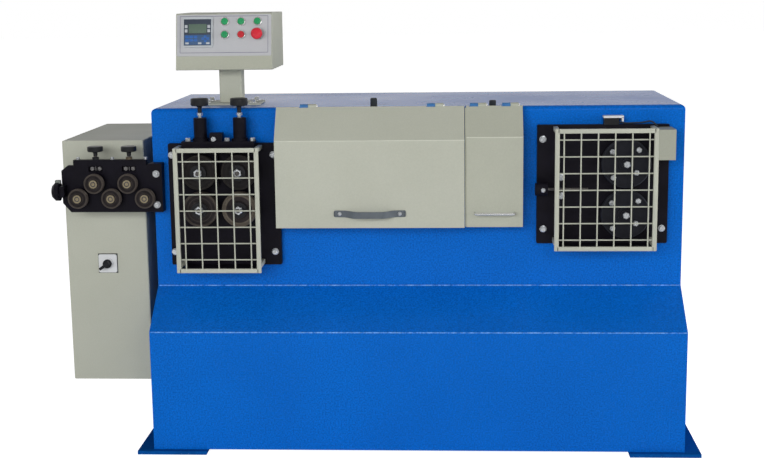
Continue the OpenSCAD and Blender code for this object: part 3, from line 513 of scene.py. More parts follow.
class Piece:
    """One new piece, shaped in a bmesh and set in the frame when it is finished."""

    def __init__(self, name: str) -> None:
        """Starts an empty piece with its name."""
        self.name = name
        self.bm = bmesh.new()

    def pose(self, base: Vector, axis: Vector) -> Matrix:
        """The transform that stands a shape's own Z along an axis at a base point."""
        return Matrix.Translation(base) @ axis.to_track_quat("Z", "Y").to_matrix().to_4x4()

    def round_edges(self, edges: Sequence[bmesh.types.BMEdge], size: float,
                    steps: int = 2) -> None:
        """Bevels edges of the piece by a size in metres."""
        bmesh.ops.bevel(self.bm, geom=list(edges), offset=size, affect="EDGES",
                        offset_type="OFFSET", segments=steps, profile=0.5, material=-1,
                        clamp_overlap=True)

    def disc(self, base: Vector, axis: Vector, d: float, h: float, edge: float = 0.0,
             sides: int = 40) -> "Piece":
        """Adds an upright disc, or a prism of few sides, with a rounded front edge.

        Args:
            base: middle of its lower face, in metres.
            axis: the way it stands.
            d: diameter in millimetres, over the corners.
            h: height in millimetres.
            edge: size of the rounding at its free end, in millimetres.
            sides: number of sides.

        Returns:
            The piece itself.
        """
        made = bmesh.ops.create_cone(self.bm, cap_ends=True, segments=sides,
                                     radius1=d / 2 * MM, radius2=d / 2 * MM, depth=h * MM)
        verts = made["verts"]
        top = {v for v in verts if v.co.z > 0}
        rim = {e for v in top for e in v.link_edges if e.other_vert(v) in top}
        bmesh.ops.translate(self.bm, verts=verts, vec=(0, 0, h / 2 * MM))
        bmesh.ops.transform(self.bm, verts=verts, matrix=self.pose(base, axis))
        if edge:
            self.round_edges(rim, edge * MM)
        return self

    def bar(self, low: Vector, high: Vector, edge: float = 0.0, steps: int = 2,
            turn: Optional[Matrix] = None) -> "Piece":
        """Adds a block between two corners, with rounded edges.

        Args:
            low: its lowest corner, in metres.
            high: its highest corner, in metres.
            edge: size of the rounding, in millimetres.
            steps: faces across the rounding.
            turn: a transform applied to the finished block.

        Returns:
            The piece itself.
        """
        size = high - low
        fit = Matrix.Translation((low + high) / 2) @ Matrix.Diagonal((*size, 1.0))
        if turn is not None:
            fit = turn @ fit
        made = bmesh.ops.create_cube(self.bm, size=1.0, matrix=fit)
        if edge:
            edges = {e for v in made["verts"] for e in v.link_edges}
            self.round_edges(list(edges), edge * MM, steps)
        return self

    def lathe(self, base: Vector, axis: Vector, outline: Sequence[tuple[float, float]],
              steps: int = 48) -> "Piece":
        """Spins an outline round an axis.

        Args:
            base: point on the axis that the outline's heights start from.
            axis: the way the piece stands.
            outline: radius and height of each point, in millimetres, from axis to axis.
            steps: faces round the piece.

        Returns:
            The piece itself.
        """
        verts = [self.bm.verts.new((r * MM, 0, h * MM)) for r, h in outline]
        edges = [self.bm.edges.new(pair) for pair in zip(verts, verts[1:])]
        before = set(self.bm.verts) - set(verts)
        bmesh.ops.spin(self.bm, geom=verts + edges, axis=(0, 0, 1), cent=(0, 0, 0),
                       angle=math.tau, steps=steps, use_merge=True)
        spun = [v for v in self.bm.verts if v not in before]
        bmesh.ops.remove_doubles(self.bm, verts=spun, dist=1e-6)
        spun = [v for v in self.bm.verts if v not in before]
        bmesh.ops.transform(self.bm, verts=spun, matrix=self.pose(base, axis))
        return self

    def hex_bolt(self, base: Vector, axis: Vector, kind: Bolt, spin: float = 0.0) -> "Piece":
        """Adds a hexagon head with a chamfered face, on a washer where it has one.

        Args:
            base: middle of the seat, in metres.
            axis: the way the head stands.
            kind: which bolt or nut it is.
            spin: turn of the head about its axis, in degrees.

        Returns:
            The piece itself.
        """
        head = kind.value
        seat = base
        if head.washer:
            self.disc(base, axis, head.washer, head.washer_h, 0.4, 28)
            seat = base + axis * head.washer_h * MM
        radius = head.flats / math.sqrt(3) * MM
        made = bmesh.ops.create_cone(self.bm, cap_ends=True, segments=6, radius1=radius,
                                     radius2=radius, depth=head.h * MM)
        verts = made["verts"]
        top = {v for v in verts if v.co.z > 0}
        rim = {e for v in top for e in v.link_edges if e.other_vert(v) in top}
        bmesh.ops.translate(self.bm, verts=verts, vec=(0, 0, head.h / 2 * MM))
        bmesh.ops.rotate(self.bm, verts=verts, matrix=Matrix.Rotation(math.radians(spin), 3, "Z"))
        bmesh.ops.transform(self.bm, verts=verts, matrix=self.pose(seat, axis))
        self.round_edges(rim, head.h * head.chamfer * MM, 1)
        return self

    def socket_bolt(self, base: Vector, axis: Vector, d: float, h: float) -> "Piece":
        """Adds a round head with a socket sunk in its face.

        Args:
            base: middle of the seat, in metres.
            axis: the way the head stands.
            d: diameter of the head, in millimetres.
            h: height of the head.

        Returns:
            The piece itself.
        """
        return self.lathe(base, axis, [(0, h * 0.5), (d * 0.27, h * 0.5), (d * 0.27, h),
                                       (d / 2 - 0.6, h), (d / 2, h - 0.6), (d / 2, 0), (0, 0)],
                          30)

    def sweep(self, points: Sequence[Vector], across: Vector, w: float, t: float,
              sides: int = 4) -> "Piece":
        """Adds a bar along a line of points: flat strap with four sides, round with more.

        Args:
            points: the middle line of the bar, in metres.
            across: the way of the bar's width.
            w: width in millimetres.
            t: thickness in millimetres.
            sides: sides of its section.

        Returns:
            The piece itself.
        """
        reach = math.sqrt(0.5) if sides == 4 else 0.5
        rings = []
        for i, point in enumerate(points):
            ahead = (points[min(i + 1, len(points) - 1)] - points[max(i - 1, 0)]).normalized()
            thick = ahead.cross(across).normalized()
            place = Matrix((across * w * MM, thick * t * MM, ahead)).transposed().to_4x4()
            place = Matrix.Translation(point) @ place @ Matrix.Rotation(math.pi / 4, 4, "Z")
            made = bmesh.ops.create_circle(self.bm, cap_ends=i in (0, len(points) - 1),
                                           segments=sides, radius=reach, matrix=place)
            rings.append(set(made["verts"]))
        for one, two in zip(rings, rings[1:]):
            loops = {e for ring in (one, two) for v in ring for e in v.link_edges
                     if e.other_vert(v) in ring}
            bmesh.ops.bridge_loops(self.bm, edges=list(loops))
        return self

    def done(self, body: str, look: Look, slot: Slot, smooth: float = 38.0,
             stands_for: Sequence[str] = (),
             material: Optional[bpy.types.Material] = None) -> bpy.types.Object:
        """Closes the piece: normals out, smooth faces, material, and the body it rides on.

        Args:
            body: the moving or fixed body that carries it.
            look: its finish.
            slot: the record's material slot of the piece; not used.
            smooth: angle in degrees under which faces shade as one.
            stands_for: solids of the frame that it is shown in place of.
            material: a material that is used in place of the finish's own.

        Returns:
            The finished object.
        """
        bmesh.ops.recalc_face_normals(self.bm, faces=self.bm.faces)
        mesh = bpy.data.meshes.new(self.name)
        self.bm.to_mesh(mesh)
        self.bm.free()
        mesh.shade_smooth()
        mesh.set_sharp_from_angle(angle=math.radians(smooth))
        mesh.materials.append(material or look.value.material())
        made = bpy.data.objects.new(self.name, mesh)
        bpy.context.scene.collection.objects.link(made)
        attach(made, body)
        if stands_for:
            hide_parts(*stands_for)
        LOG.info("%s: %d faces on %s", self.name, len(mesh.polygons), body)
        return made


def rounded_path(corners: Sequence[Vector], radius: float, steps: int = 6) -> list[Vector]:
    """Rounds the corners of a bent line.

    Args:
        corners: the ends and the corners of the line, in metres.
        radius: radius of each bend, in millimetres.
        steps: pieces that each bend is cut in.

    Returns:
        The points of the rounded line.
    """
    path = [corners[0]]
    for before, corner, after in zip(corners, corners[1:], corners[2:]):
        one = (before - corner).normalized()
        two = (after - corner).normalized()
        half = one.angle(two) / 2
        start = corner + one * radius * MM / math.tan(half)
        end = corner + two * radius * MM / math.tan(half)
        centre = corner + (one + two).normalized() * radius * MM / math.sin(half)
        spoke = start - centre
        swing = spoke.angle(end - centre)
        axis = spoke.cross(end - centre)
        for i in range(steps + 1):
            path.append(centre + Matrix.Rotation(swing * i / steps, 3, axis) @ spoke)
    path.append(corners[-1])
    return path


@dataclass
class Body:
    """The blue housing and the plates under its ends.

    Attributes:
        folds: depth, height and thickness of the painted highlight line along each fold of the
            front.
        end: distance of the lines' ends from the body's sides.
    """

    folds: tuple = ((-1.6, 519.2, 4.0), (-158.0, 400.6, 4.0))
    end: float = 3.0

    def dress(self) -> None:
        """Gives the housing and its foot plates their enamel."""
        paint("cabinet", Look.BLUE.value.material())
        paint("foot_plates", Look.BLUE_FOOT.value.material())

    def build(self) -> None:
        """Adds painted highlight lines along the folds of the front."""
        # A bright blue rod along each fold: a painted highlight.
        folds = Piece("front_folds")
        half = (BODY_HIGH.x - BODY_LOW.x) / 2 / MM - self.end
        for y, z, d in self.folds:
            folds.disc(at(-half, y, z), RIGHT, d, 2 * half, sides=12)
        folds.done(MACHINE, Look.BLUE_EDGE, Slot.BLUE)


@dataclass
class SideCabinet:
    """The cream electrical cabinet at the left, with its main switch.

    Attributes:
        edge: how far the dark gasket shows round the switch plate.
        gasket: thickness of that gasket.
    """

    edge: float = 2.0
    gasket: float = 2.0

    def dress(self) -> None:
        """Gives the cabinet, its rails and its switch their finishes."""
        paint("electrical_cabinet", Look.CREAM.value.material())
        paint("spacer_rails", Look.BLACKED.value.material())
        paint("main_switch_plate", Look.PALE.value.material())
        paint("main_switch_handle", Look.PHENOLIC.value.material())

    def build(self) -> None:
        """Adds the gasket behind the switch plate."""
        low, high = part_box("main_switch_plate")
        front = high.y - self.gasket * MM
        rim = Vector((self.edge, 0, self.edge)) * MM
        Piece("switch_gasket").bar(
            Vector((low.x, front, low.z)) - rim, high + rim, 0.6
        ).done(MACHINE, Look.RUBBER, Slot.RUBBER)


@dataclass
class RollerHead:
    """The straightening rollers on their black plate, outside the body.

    Attributes:
        face: distance of the plate's face in front of the body.
        bolts: places of the bolts that hold the plate to the body.
        bar_top: height of the upper bar's top.
        cap_x: places of the cap bolts along the upper bar.
        screw_x: places of the adjusting screws.
        screw_y: depth of the adjusting screws.
        window_z: height of the windows' middle.
        window_deep: depth of the windows.
        window_step: distance of the two screws in a window from its middle.
        pad: opposite corners of the pale pad on the inlet bush.
        knob: outline of the adjusting knobs.
        knob_up: height of a knob's foot over the bar.
        rim: radius at which a roller's worn rim starts.
        pin_ring: outline of the raised ring on a pin's head.
        pin_dot: outline of the pin's middle.
    """

    face: float = -38.0
    bolts: tuple = ((-834, 894), (-834, 794))
    bar_top: float = 940.0
    cap_x: tuple = (-1088, -976, -868)
    screw_x: tuple = (-1030.5, -921.5)
    screw_y: float = -28.0
    window_z: float = 910.5
    window_deep: float = 12.0
    window_step: float = 12.0
    pad: tuple = ((-1156, -70, 868), (-1139, -54, 879))
    knob: tuple = ((0, 0), (6.5, 0), (7, 10), (10, 13), (22, 14), (24.2, 15), (25, 17),
                   (25, 28.5), (23.8, 30.5), (21, 31.2), (9, 31), (0, 30.5))
    knob_up: float = 12.0
    rim: float = 27.0
    pin_ring: tuple = ((8.6, 0), (8.6, 2.0), (9.2, 2.6), (12.3, 2.6), (13.1, 1.8), (13.1, 0),
                       (8.6, 0))
    pin_dot: tuple = ((0, 0), (5.2, 0), (5.2, 1.8), (4.4, 2.6), (0, 2.8))

    def dress(self) -> None:
        """Gives the plate, the bar, the bush, the pins and the rollers their finishes."""
        for node in ("head_plate", "head_top_bar", "inlet_guide"):
            paint(node, Look.BLACKED.value.material())
        paint("roller_pins", Look.DULL.value.material())
        for i in range(1, 6):
            node = f"straightening_roller_{i}"
            paint(node, Look.DARK_STEEL.value.turned(f"hardened_steel_{i}", middle(node),
                                                     self.rim))

    def build(self) -> None:
        """Adds the bolts, the adjusting screws and what shows in the windows."""
        bolts = Piece("head_bolts")
        for x, z in self.bolts:
            bolts.hex_bolt(at(x, self.face, z), FORTH, Bolt.HEAD_PLATE, 12)
        bolts.done(MACHINE, Look.ZINC, Slot.ZINC)
        Piece("inlet_pad").bar(at(*self.pad[0]), at(*self.pad[1]), 2.0).done(
            MACHINE, Look.PAD, Slot.BARE_STEEL)
        caps = Piece("head_cap_bolts")
        for x in self.cap_x:
            caps.socket_bolt(at(x, self.screw_y, self.bar_top), UP, 12, 8)
        caps.done(MACHINE, Look.ZINC, Slot.ZINC)
        bits = Piece("window_screws")
        for x in self.screw_x:
            for step in (-self.window_step, self.window_step):
                bits.hex_bolt(at(x + step, self.face + self.window_deep, self.window_z), FORTH,
                              Bolt.WINDOW)
            bits.bar(at(x - 1.2, self.face + 5, self.window_z - 7),
                     at(x + 1.2, self.face + self.window_deep, self.window_z + 7), 0.4)
        bits.done(MACHINE, Look.STUD, Slot.BARE_STEEL)
        pins = Piece("roller_pin_faces")
        for i in range(1, 6):
            spot = middle(f"straightening_roller_{i}")
            seat = Vector((spot.x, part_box("roller_pins")[0].y, spot.z))
            pins.lathe(seat + BACK * MM, FORTH, self.pin_ring)
            pins.lathe(seat + BACK * MM, FORTH, self.pin_dot)
        pins.done(MACHINE, Look.PIN, Slot.BRONZE)
        self.build_screws()

    def build_screws(self) -> None:
        """Builds the adjusting screws: studs, lock nuts and fluted knobs."""
        knobs = Piece("adjusting_knobs")
        studs = Piece("adjusting_studs")
        nuts = (("adjusting_nut_left", Look.PHENOLIC, Slot.BLACKED),
                ("adjusting_nut_right", Look.BRONZE, Slot.BRONZE))
        for x, (name, look, slot) in zip(self.screw_x, nuts):
            top = at(x, self.screw_y, self.bar_top)
            studs.disc(top - UP * 18 * MM, UP, 10, 40)
            knobs.lathe(top + UP * self.knob_up * MM, UP, self.knob)
            Piece(name).hex_bolt(top, UP, Bolt.LOCK_NUT).done(MACHINE, look, slot)
        studs.done(MACHINE, Look.DULL, Slot.BARE_STEEL)
        knobs.done(MACHINE, Look.PHENOLIC, Slot.BLACKED, stands_for=["adjusting_screws"])


@dataclass
class FeedUnit:
    """The four feed rolls, their black plate and the screws that press them.

    Attributes:
        rolls: the rolls' names.
        looks: the finish of each roll.
        nut_y: depth at which a roll nut sits.
        cap: outline of the round cap behind a roll nut.
        cap_back: distance of the cap's foot behind the nut's seat.
        plate_bolts: places of the bolts in the corners of the plate.
        bridge_bolts: place along the bridge and height of each bolt on it.
        bridge_y: depth of those bolts.
        block_bolt: place of the bolt in the front of the bridge's block.
        screw_x: places of the pressure screws.
        screw_y: depth of the pressure screws.
        knob_z: height of the pressure knobs' foot.
        knob: outline of the pressure knobs.
        rims: radius at which each roll's worn rim starts.
    """

    rolls: tuple = ("feed_roll_upper_left", "feed_roll_upper_right", "feed_roll_lower_left",
                    "feed_roll_lower_right")
    looks: tuple = (Look.OILED_STEEL, Look.OILED_STEEL, Look.DARK_STEEL, Look.BARE_STEEL)
    nut_y: float = -89.0
    cap: tuple = ((0, 0), (26.4, 0), (26.4, 9), (25, 11.3), (0, 11.3))
    cap_back: float = 11.0
    plate_bolts: tuple = ((-785, 952), (-785, 636), (-457, 952), (-457, 636))
    bridge_bolts: tuple = ((-721, 1001), (-596, 1001), (-515, 1001))
    bridge_y: float = -62.0
    block_bolt: tuple = (-638, -67, 1008)
    screw_x: tuple = (-683, -557)
    screw_y: float = -47.5
    knob_z: float = 1090.0
    knob: tuple = ((0, 0), (6.7, 0), (6.7, 17), (9, 20), (13, 22), (25, 22.6), (27.2, 23.6),
                   (28, 26), (28, 43), (26.8, 45.2), (24, 46), (10, 45.8), (0, 45.2))
    rims: tuple = (48.0, 48.0, 48.0, 42.0)

    def dress(self) -> None:
        """Gives the plate, the press parts and the rolls their finishes."""
        for node in ("feed_plate", "pressure_slides", "feed_bridge", "spring_housings"):
            paint(node, Look.BLACKED.value.material())
        paint("pressure_screws", Look.ZINC.value.material())
        for node, look, rim in zip(self.rolls, self.looks, self.rims):
            paint(node, look.value.turned(f"{look.value.name}_{node}", middle(node), rim))

    def build(self) -> None:
        """Adds the roll caps and nuts, the bolts and the knobs."""
        for node in self.rolls:
            spot = middle(node)
            seat = Vector((spot.x, at(0, self.nut_y, 0).y, spot.z))
            nut = Piece(f"{node}_nut")
            nut.hex_bolt(seat + FORTH * 0.3 * MM, FORTH, Bolt.ROLL_NUT, 7)
            nut.done(f"{node}_body", Look.ZINC, Slot.ZINC)
            stud = Piece(f"{node}_stud")
            stud.disc(seat + FORTH * Bolt.ROLL_NUT.value.h * MM, FORTH, 14, 4, 1.2)
            stud.done(f"{node}_body", Look.DULL, Slot.BARE_STEEL)
            cap = Piece(f"{node}_cap")
            cap.lathe(seat + BACK * self.cap_back * MM, FORTH, self.cap)
            cap.done(f"{node}_body", Look.PHENOLIC, Slot.BLACKED)
        bolts = Piece("feed_plate_bolts")
        for x, z in self.plate_bolts:
            bolts.hex_bolt(at(x, PLATE_Y, z), FORTH, Bolt.UNIT_PLATE, x + z)
        for x, z in self.bridge_bolts:
            bolts.hex_bolt(at(x, self.bridge_y, z), UP, Bolt.BRIDGE, x)
        bolts.hex_bolt(at(*self.block_bolt), FORTH, Bolt.BLOCK, 20)
        bolts.done(MACHINE, Look.ZINC, Slot.ZINC)
        knobs = Piece("pressure_knob_heads")
        for x in self.screw_x:
            knobs.lathe(at(x, self.screw_y, self.knob_z), UP, self.knob)
        knobs.done(MACHINE, Look.PHENOLIC, Slot.BLACK_PLASTIC, stands_for=["pressure_knobs"])


@dataclass
class Guard:
    """A welded guard: a frame of flat bars with crossing round wires, on four posts.

    Attributes:
        node: the solid that it is shown in place of.
        plate: the black plate that it stands on.
        cols: number of upright wires.
        rows: number of level wires.
        bar: width of a frame bar.
        deep: depth of a frame bar.
        wire: thickness of a wire.
        pitch: spacing of the wires.
        edge: rounding of the bars' edges.
        sheet: thickness of the black sheet that closes the guard's underside; its black is painted
            shade in the guard's lowest cells.
    """

    node: str
    plate: str
    cols: int
    rows: int
    bar: float = 14.0
    deep: float = 10.0
    wire: float = 4.4
    pitch: float = 52.5
    edge: float = 1.6
    sheet: float = 3.0

    def build(self) -> None:
        """Builds the frame, the posts, the wires and the black underside, in painted shade, of one
        guard.
        """
        low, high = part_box(self.node)
        face = low.y
        bar, deep = self.bar * MM, self.deep * MM
        piece = Piece(f"{self.node}_welded")
        for x in (low.x, high.x - bar):
            piece.bar(Vector((x, face, low.z)), Vector((x + bar, face + deep, high.z)), self.edge)
            for z in (low.z + bar, high.z - bar):
                piece.bar(Vector((x, face + deep * WELD_LAP, z)),
                          Vector((x + bar, high.y, z + bar)), self.edge)
        for z in (low.z, high.z - bar):
            piece.bar(Vector((low.x + bar * WELD_LAP, face, z)),
                      Vector((high.x - bar * WELD_LAP, face + deep, z + bar)), self.edge)
        mid = (low + high) / 2
        ahead = face + deep / 2 - self.wire * 0.45 * MM
        behind = face + deep / 2 + self.wire * 0.45 * MM
        for i in range(self.cols):
            x = mid.x + (i - (self.cols - 1) / 2) * self.pitch * MM
            piece.disc(Vector((x, ahead, low.z + bar / 2)), UP, self.wire,
                       (high.z - low.z - bar) / MM, sides=12)
        for i in range(self.rows):
            z = mid.z + (i - (self.rows - 1) / 2) * self.pitch * MM
            piece.disc(Vector((low.x + bar / 2, behind, z)), RIGHT, self.wire,
                       (high.x - low.x - bar) / MM, sides=12)
        piece.done(MACHINE, Look.CREAM, Slot.CREAM, stands_for=[self.node])
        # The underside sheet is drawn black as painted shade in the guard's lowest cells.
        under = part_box(self.plate)[0].z + 1 * MM
        Piece(f"{self.node}_underside").bar(
            Vector((low.x + bar * WELD_LAP, face + deep * WELD_LAP, under - self.sheet * MM)),
            Vector((high.x - bar * WELD_LAP, at(0, PLATE_Y + 0.5, 0).y, under)), 0.4
        ).done(MACHINE, Look.BLACKED, Slot.BLACKED)


@dataclass
class CuttingUnit:
    """The two cutter discs on their black plate, with the wire guide and the guard switch.

    Attributes:
        plate_bolts: places of the bolts in the corners of the plate.
        clamp_bolts: places of the two bolts behind the guard.
        disc_bolts: angle in degrees and distance from the middle of each disc bolt.
        guide_bolt: place of the small bolt in the wire guide.
        tube: start of the tube that leads the wire to the discs.
        tube_d: diameter of that tube.
        tube_len: length of that tube.
        disc_face: depth of the discs' faces.
        nose: depth of the discs' noses.
        rim: radius at which a disc's worn rim starts.
        lead: points that the switch's lead follows into the switch cover.
        lead_d: thickness of the lead.
        lead_bend: radius of the lead's bends.
    """

    plate_bolts: tuple = ((403, 996), (406, 708), (781, 709), (781, 996))
    clamp_bolts: tuple = ((462, 874), (462, 815))
    disc_bolts: tuple = ((49, 58), (139, 58), (227, 59), (-41, 42))
    guide_bolt: tuple = (401, -80, 842)
    tube: tuple = (416, -62, 842)
    tube_d: float = 9.5
    tube_len: float = 127.0
    disc_face: float = -71.0
    nose: float = -85.0
    rim: float = 73.0
    lead: tuple = ((632, -16, 1048), (668, -12, 1044), (714, -12, 1046), (742, -25, 1053),
                   (767, -45, 1027))
    lead_d: float = 5.0
    lead_bend: float = 21.0

    def dress(self) -> None:
        """Gives the plate, the discs, the guide and the switch their finishes."""
        for node in ("cutter_plate", "wire_guide"):
            paint(node, Look.BLACKED.value.material())
        for node in ("cutter_disc_upper", "cutter_disc_lower"):
            paint(node, Look.BLUED_STEEL.value.turned(f"blued_steel_{node}", middle(node),
                                                      self.rim))
        paint("guard_switch_cover", Look.CREAM_SHADE.value.material())
        paint("guard_switch", Look.PHENOLIC.value.material())

    def build(self) -> None:
        """Adds the bolts of the plate, the discs and the guide, and the switch's bracket."""
        for side in ("upper", "lower"):
            spot = middle(f"cutter_disc_{side}")
            bolts = Piece(f"cutter_disc_{side}_bolts")
            for angle, radius in self.disc_bolts:
                turn = math.radians(angle)
                seat = Vector((spot.x + math.cos(turn) * radius * MM,
                               at(0, self.disc_face, 0).y,
                               spot.z + math.sin(turn) * radius * MM))
                bolts.hex_bolt(seat, FORTH, Bolt.DISC, angle)
            bolts.hex_bolt(Vector((spot.x, at(0, self.nose, 0).y, spot.z)), FORTH,
                           Bolt.DISC_MIDDLE, 10)
            bolts.done(f"cutter_disc_{side}_body", Look.ZINC, Slot.ZINC)
        bolts = Piece("cutter_plate_bolts")
        for x, z in self.plate_bolts:
            bolts.hex_bolt(at(x, PLATE_Y, z), FORTH, Bolt.UNIT_PLATE, x + z)
        for x, z in self.clamp_bolts:
            bolts.hex_bolt(at(x, PLATE_Y, z), FORTH, Bolt.CLAMP, x + z)
        bolts.hex_bolt(at(*self.guide_bolt), FORTH, Bolt.GUIDE, 15)
        bolts.done(MACHINE, Look.ZINC, Slot.ZINC)
        Piece("guide_tube").disc(
            at(*self.tube), RIGHT, self.tube_d, self.tube_len, 0.6, 20
        ).done(MACHINE, Look.DULL, Slot.BARE_STEEL)
        self.build_switch()

    def build_switch(self) -> None:
        """Adds the angle bracket over the guard switch and the lead along the plate's edge."""
        low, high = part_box("guard_switch")
        front = low.y - 1 * MM
        bracket = Piece("switch_bracket")
        bracket.bar(Vector((low.x - 2 * MM, front, high.z - 6.5 * MM)),
                    high + Vector((1, 0, 0.5)) * MM, 1.0)
        bracket.bar(Vector((high.x - 5 * MM, front, high.z - 18 * MM)),
                    Vector((high.x + 1 * MM, high.y, high.z - 3 * MM)), 1.0)
        bracket.done(MACHINE, Look.PALE, Slot.GREY_PLASTIC)
        route = rounded_path([at(*point) for point in self.lead], self.lead_bend, 5)
        lead = Piece("switch_lead").sweep(
            route, BACK, self.lead_d, self.lead_d, sides=10
        ).done(MACHINE, Look.RUBBER, Slot.RUBBER)


@dataclass
class Covers:
    """The two hinged covers with their handles, hinges and buffers.

    Attributes:
        bow_x: middle of the bow handle.
        bow_z: height of the bow handle.
        face: depth of the main cover's face.
        half: half length of the bow handle.
        foot: length of its feet.
        run: length of its slopes.
        rise: how far it stands off.
        strap_w: width of the strap.
        strap_t: thickness of the strap.
        corner: radius of the strap's corners.
        bend: radius of its bends.
        screws: distance of its screws from its middle.
        screw: outline of a screw's head.
        folds: leaf, ends, depth and height of the painted highlight line along each cover's fold.
        lip_x: middle of the small cover's narrow lip beside the main cover.
        lip: depth and height of the points that the lip follows.
        pin_x: right ends of the four hinges.
        pin_y: depth of the hinge line.
        pin_z: height of the hinge line.
        pin_d: diameter of the riveted end of a hinge pin.
        buffer_d: diameter of the two rubber buffers.
        buffer_h: height of the buffer behind the main cover and of the one behind the small cover.
        buffer_r: rounding of their upper edges.
    """

    bow_x: float = -144.0
    bow_z: float = 771.0
    face: float = -92.0
    half: float = 114.0
    foot: float = 37.0
    run: float = 31.0
    rise: float = 37.0
    strap_w: float = 21.0
    strap_t: float = 4.0
    corner: float = 4.5
    bend: float = 32.0
    screws: float = 95.0
    screw: tuple = ((0, 0), (6.5, 0), (6.2, 1.6), (4.5, 3.2), (0, 3.9))
    folds: tuple = (("main_cover", -442, 154, -91.4, 1002.4),
                    ("small_cover", 161.5, 337.5, -79.4, 1009.4))
    lip_x: float = 158.8
    lip: tuple = ((-78.4, 726.5), (-78.4, 1009.0), (-21.5, 1097.0))
    pin_x: tuple = (-315.0, 89.0, 224.5, 326.5)
    pin_y: float = -11.0
    pin_z: float = 1103.0
    pin_d: float = 12.0
    buffer_d: float = 22.0
    buffer_h: tuple = (27.0, 17.0)
    buffer_r: float = 4.0

    def dress(self) -> None:
        """Gives the covers and their fittings their finishes."""
        paint("main_cover", Look.CREAM.value.material())
        paint("small_cover", Look.CREAM_DIM.value.material())
        paint("small_cover_handle", Look.CHROME.value.material())
        paint("cover_hinges", Look.BLUE_HINGE.value.material())

    def build(self) -> None:
        """Adds the handle, its screws, the hinge pins' ends, the buffers, the painted fold
        highlights and the lip.
        """
        out = self.face - self.strap_t / 2
        top = self.face - self.rise + self.strap_t / 2
        grip = self.half - self.foot - self.run
        end = self.half - self.corner
        inner = self.strap_w / 2 - self.corner
        corners = [at(self.bow_x + x, y, self.bow_z) for x, y in (
            (-end, out), (-grip - self.run, out), (-grip, top), (grip, top),
            (grip + self.run, out), (end, out))]
        bow = Piece("bow_handle").sweep(
            rounded_path(corners, self.bend), UP, self.strap_w, self.strap_t)
        for side in (-1, 1):
            tip, rim = sorted((self.bow_x + side * end, self.bow_x + side * self.half))
            bow.bar(at(tip, self.face - self.strap_t + 0.1, self.bow_z - inner),
                    at(rim, self.face - 0.1, self.bow_z + inner))
            for way in (-1, 1):
                bow.disc(at(self.bow_x + side * end, self.face - 0.1, self.bow_z + way * inner),
                         FORTH, 2 * self.corner, self.strap_t - 0.2, 0.7)
        bow.done("main_cover_leaf", Look.STRAP, Slot.BLACKED, stands_for=["main_cover_handle"])
        screws = Piece("bow_screws")
        for side in (-1, 1):
            screws.lathe(at(self.bow_x + side * self.screws, self.face - self.strap_t, self.bow_z),
                         FORTH, self.screw)
        screws.done("main_cover_leaf", Look.ZINC, Slot.ZINC)
        pins = Piece("hinge_pin_ends")
        for x in self.pin_x:
            pins.disc(at(x + 0.3, self.pin_y, self.pin_z), RIGHT, self.pin_d, 4.0, 1.0)
        pins.done(MACHINE, Look.CHROME, Slot.ZINC)
        self.build_buffers()
        # A pale rod along each cover's fold: a painted highlight.
        for cover, x0, x1, y, z in self.folds:
            Piece(f"{cover}_fold").disc(at(x0, y, z), RIGHT, 2.4, x1 - x0, sides=12).done(
                f"{cover}_leaf", Look.RUBBED, Slot.CREAM)
        Piece("small_cover_lip").sweep(
            [at(self.lip_x, y, z) for y, z in self.lip], RIGHT, 4.0, 2.4
        ).done("small_cover_leaf", Look.CREAM_DIM, Slot.CREAM)

    def build_buffers(self) -> None:
        """Adds the two rubber buffers behind the covers, with rounded upper edges."""
        low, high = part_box("cover_buffers")
        r = self.buffer_d / 2
        buffers = Piece("rubber_buffers")
        for x, h in zip((low.x + r * MM, high.x - r * MM), self.buffer_h):
            turn = [(r - self.buffer_r + self.buffer_r * math.cos(a),
                     h - self.buffer_r + self.buffer_r * math.sin(a))
                    for a in (i * math.pi / 12 for i in range(7))]
            buffers.lathe(Vector((x, low.y + r * MM, low.z)), UP,
                          [(0, 0), (r, 0), *turn, (0, h)])
        buffers.done(MACHINE, Look.RUBBER, Slot.RUBBER, stands_for=["cover_buffers"])


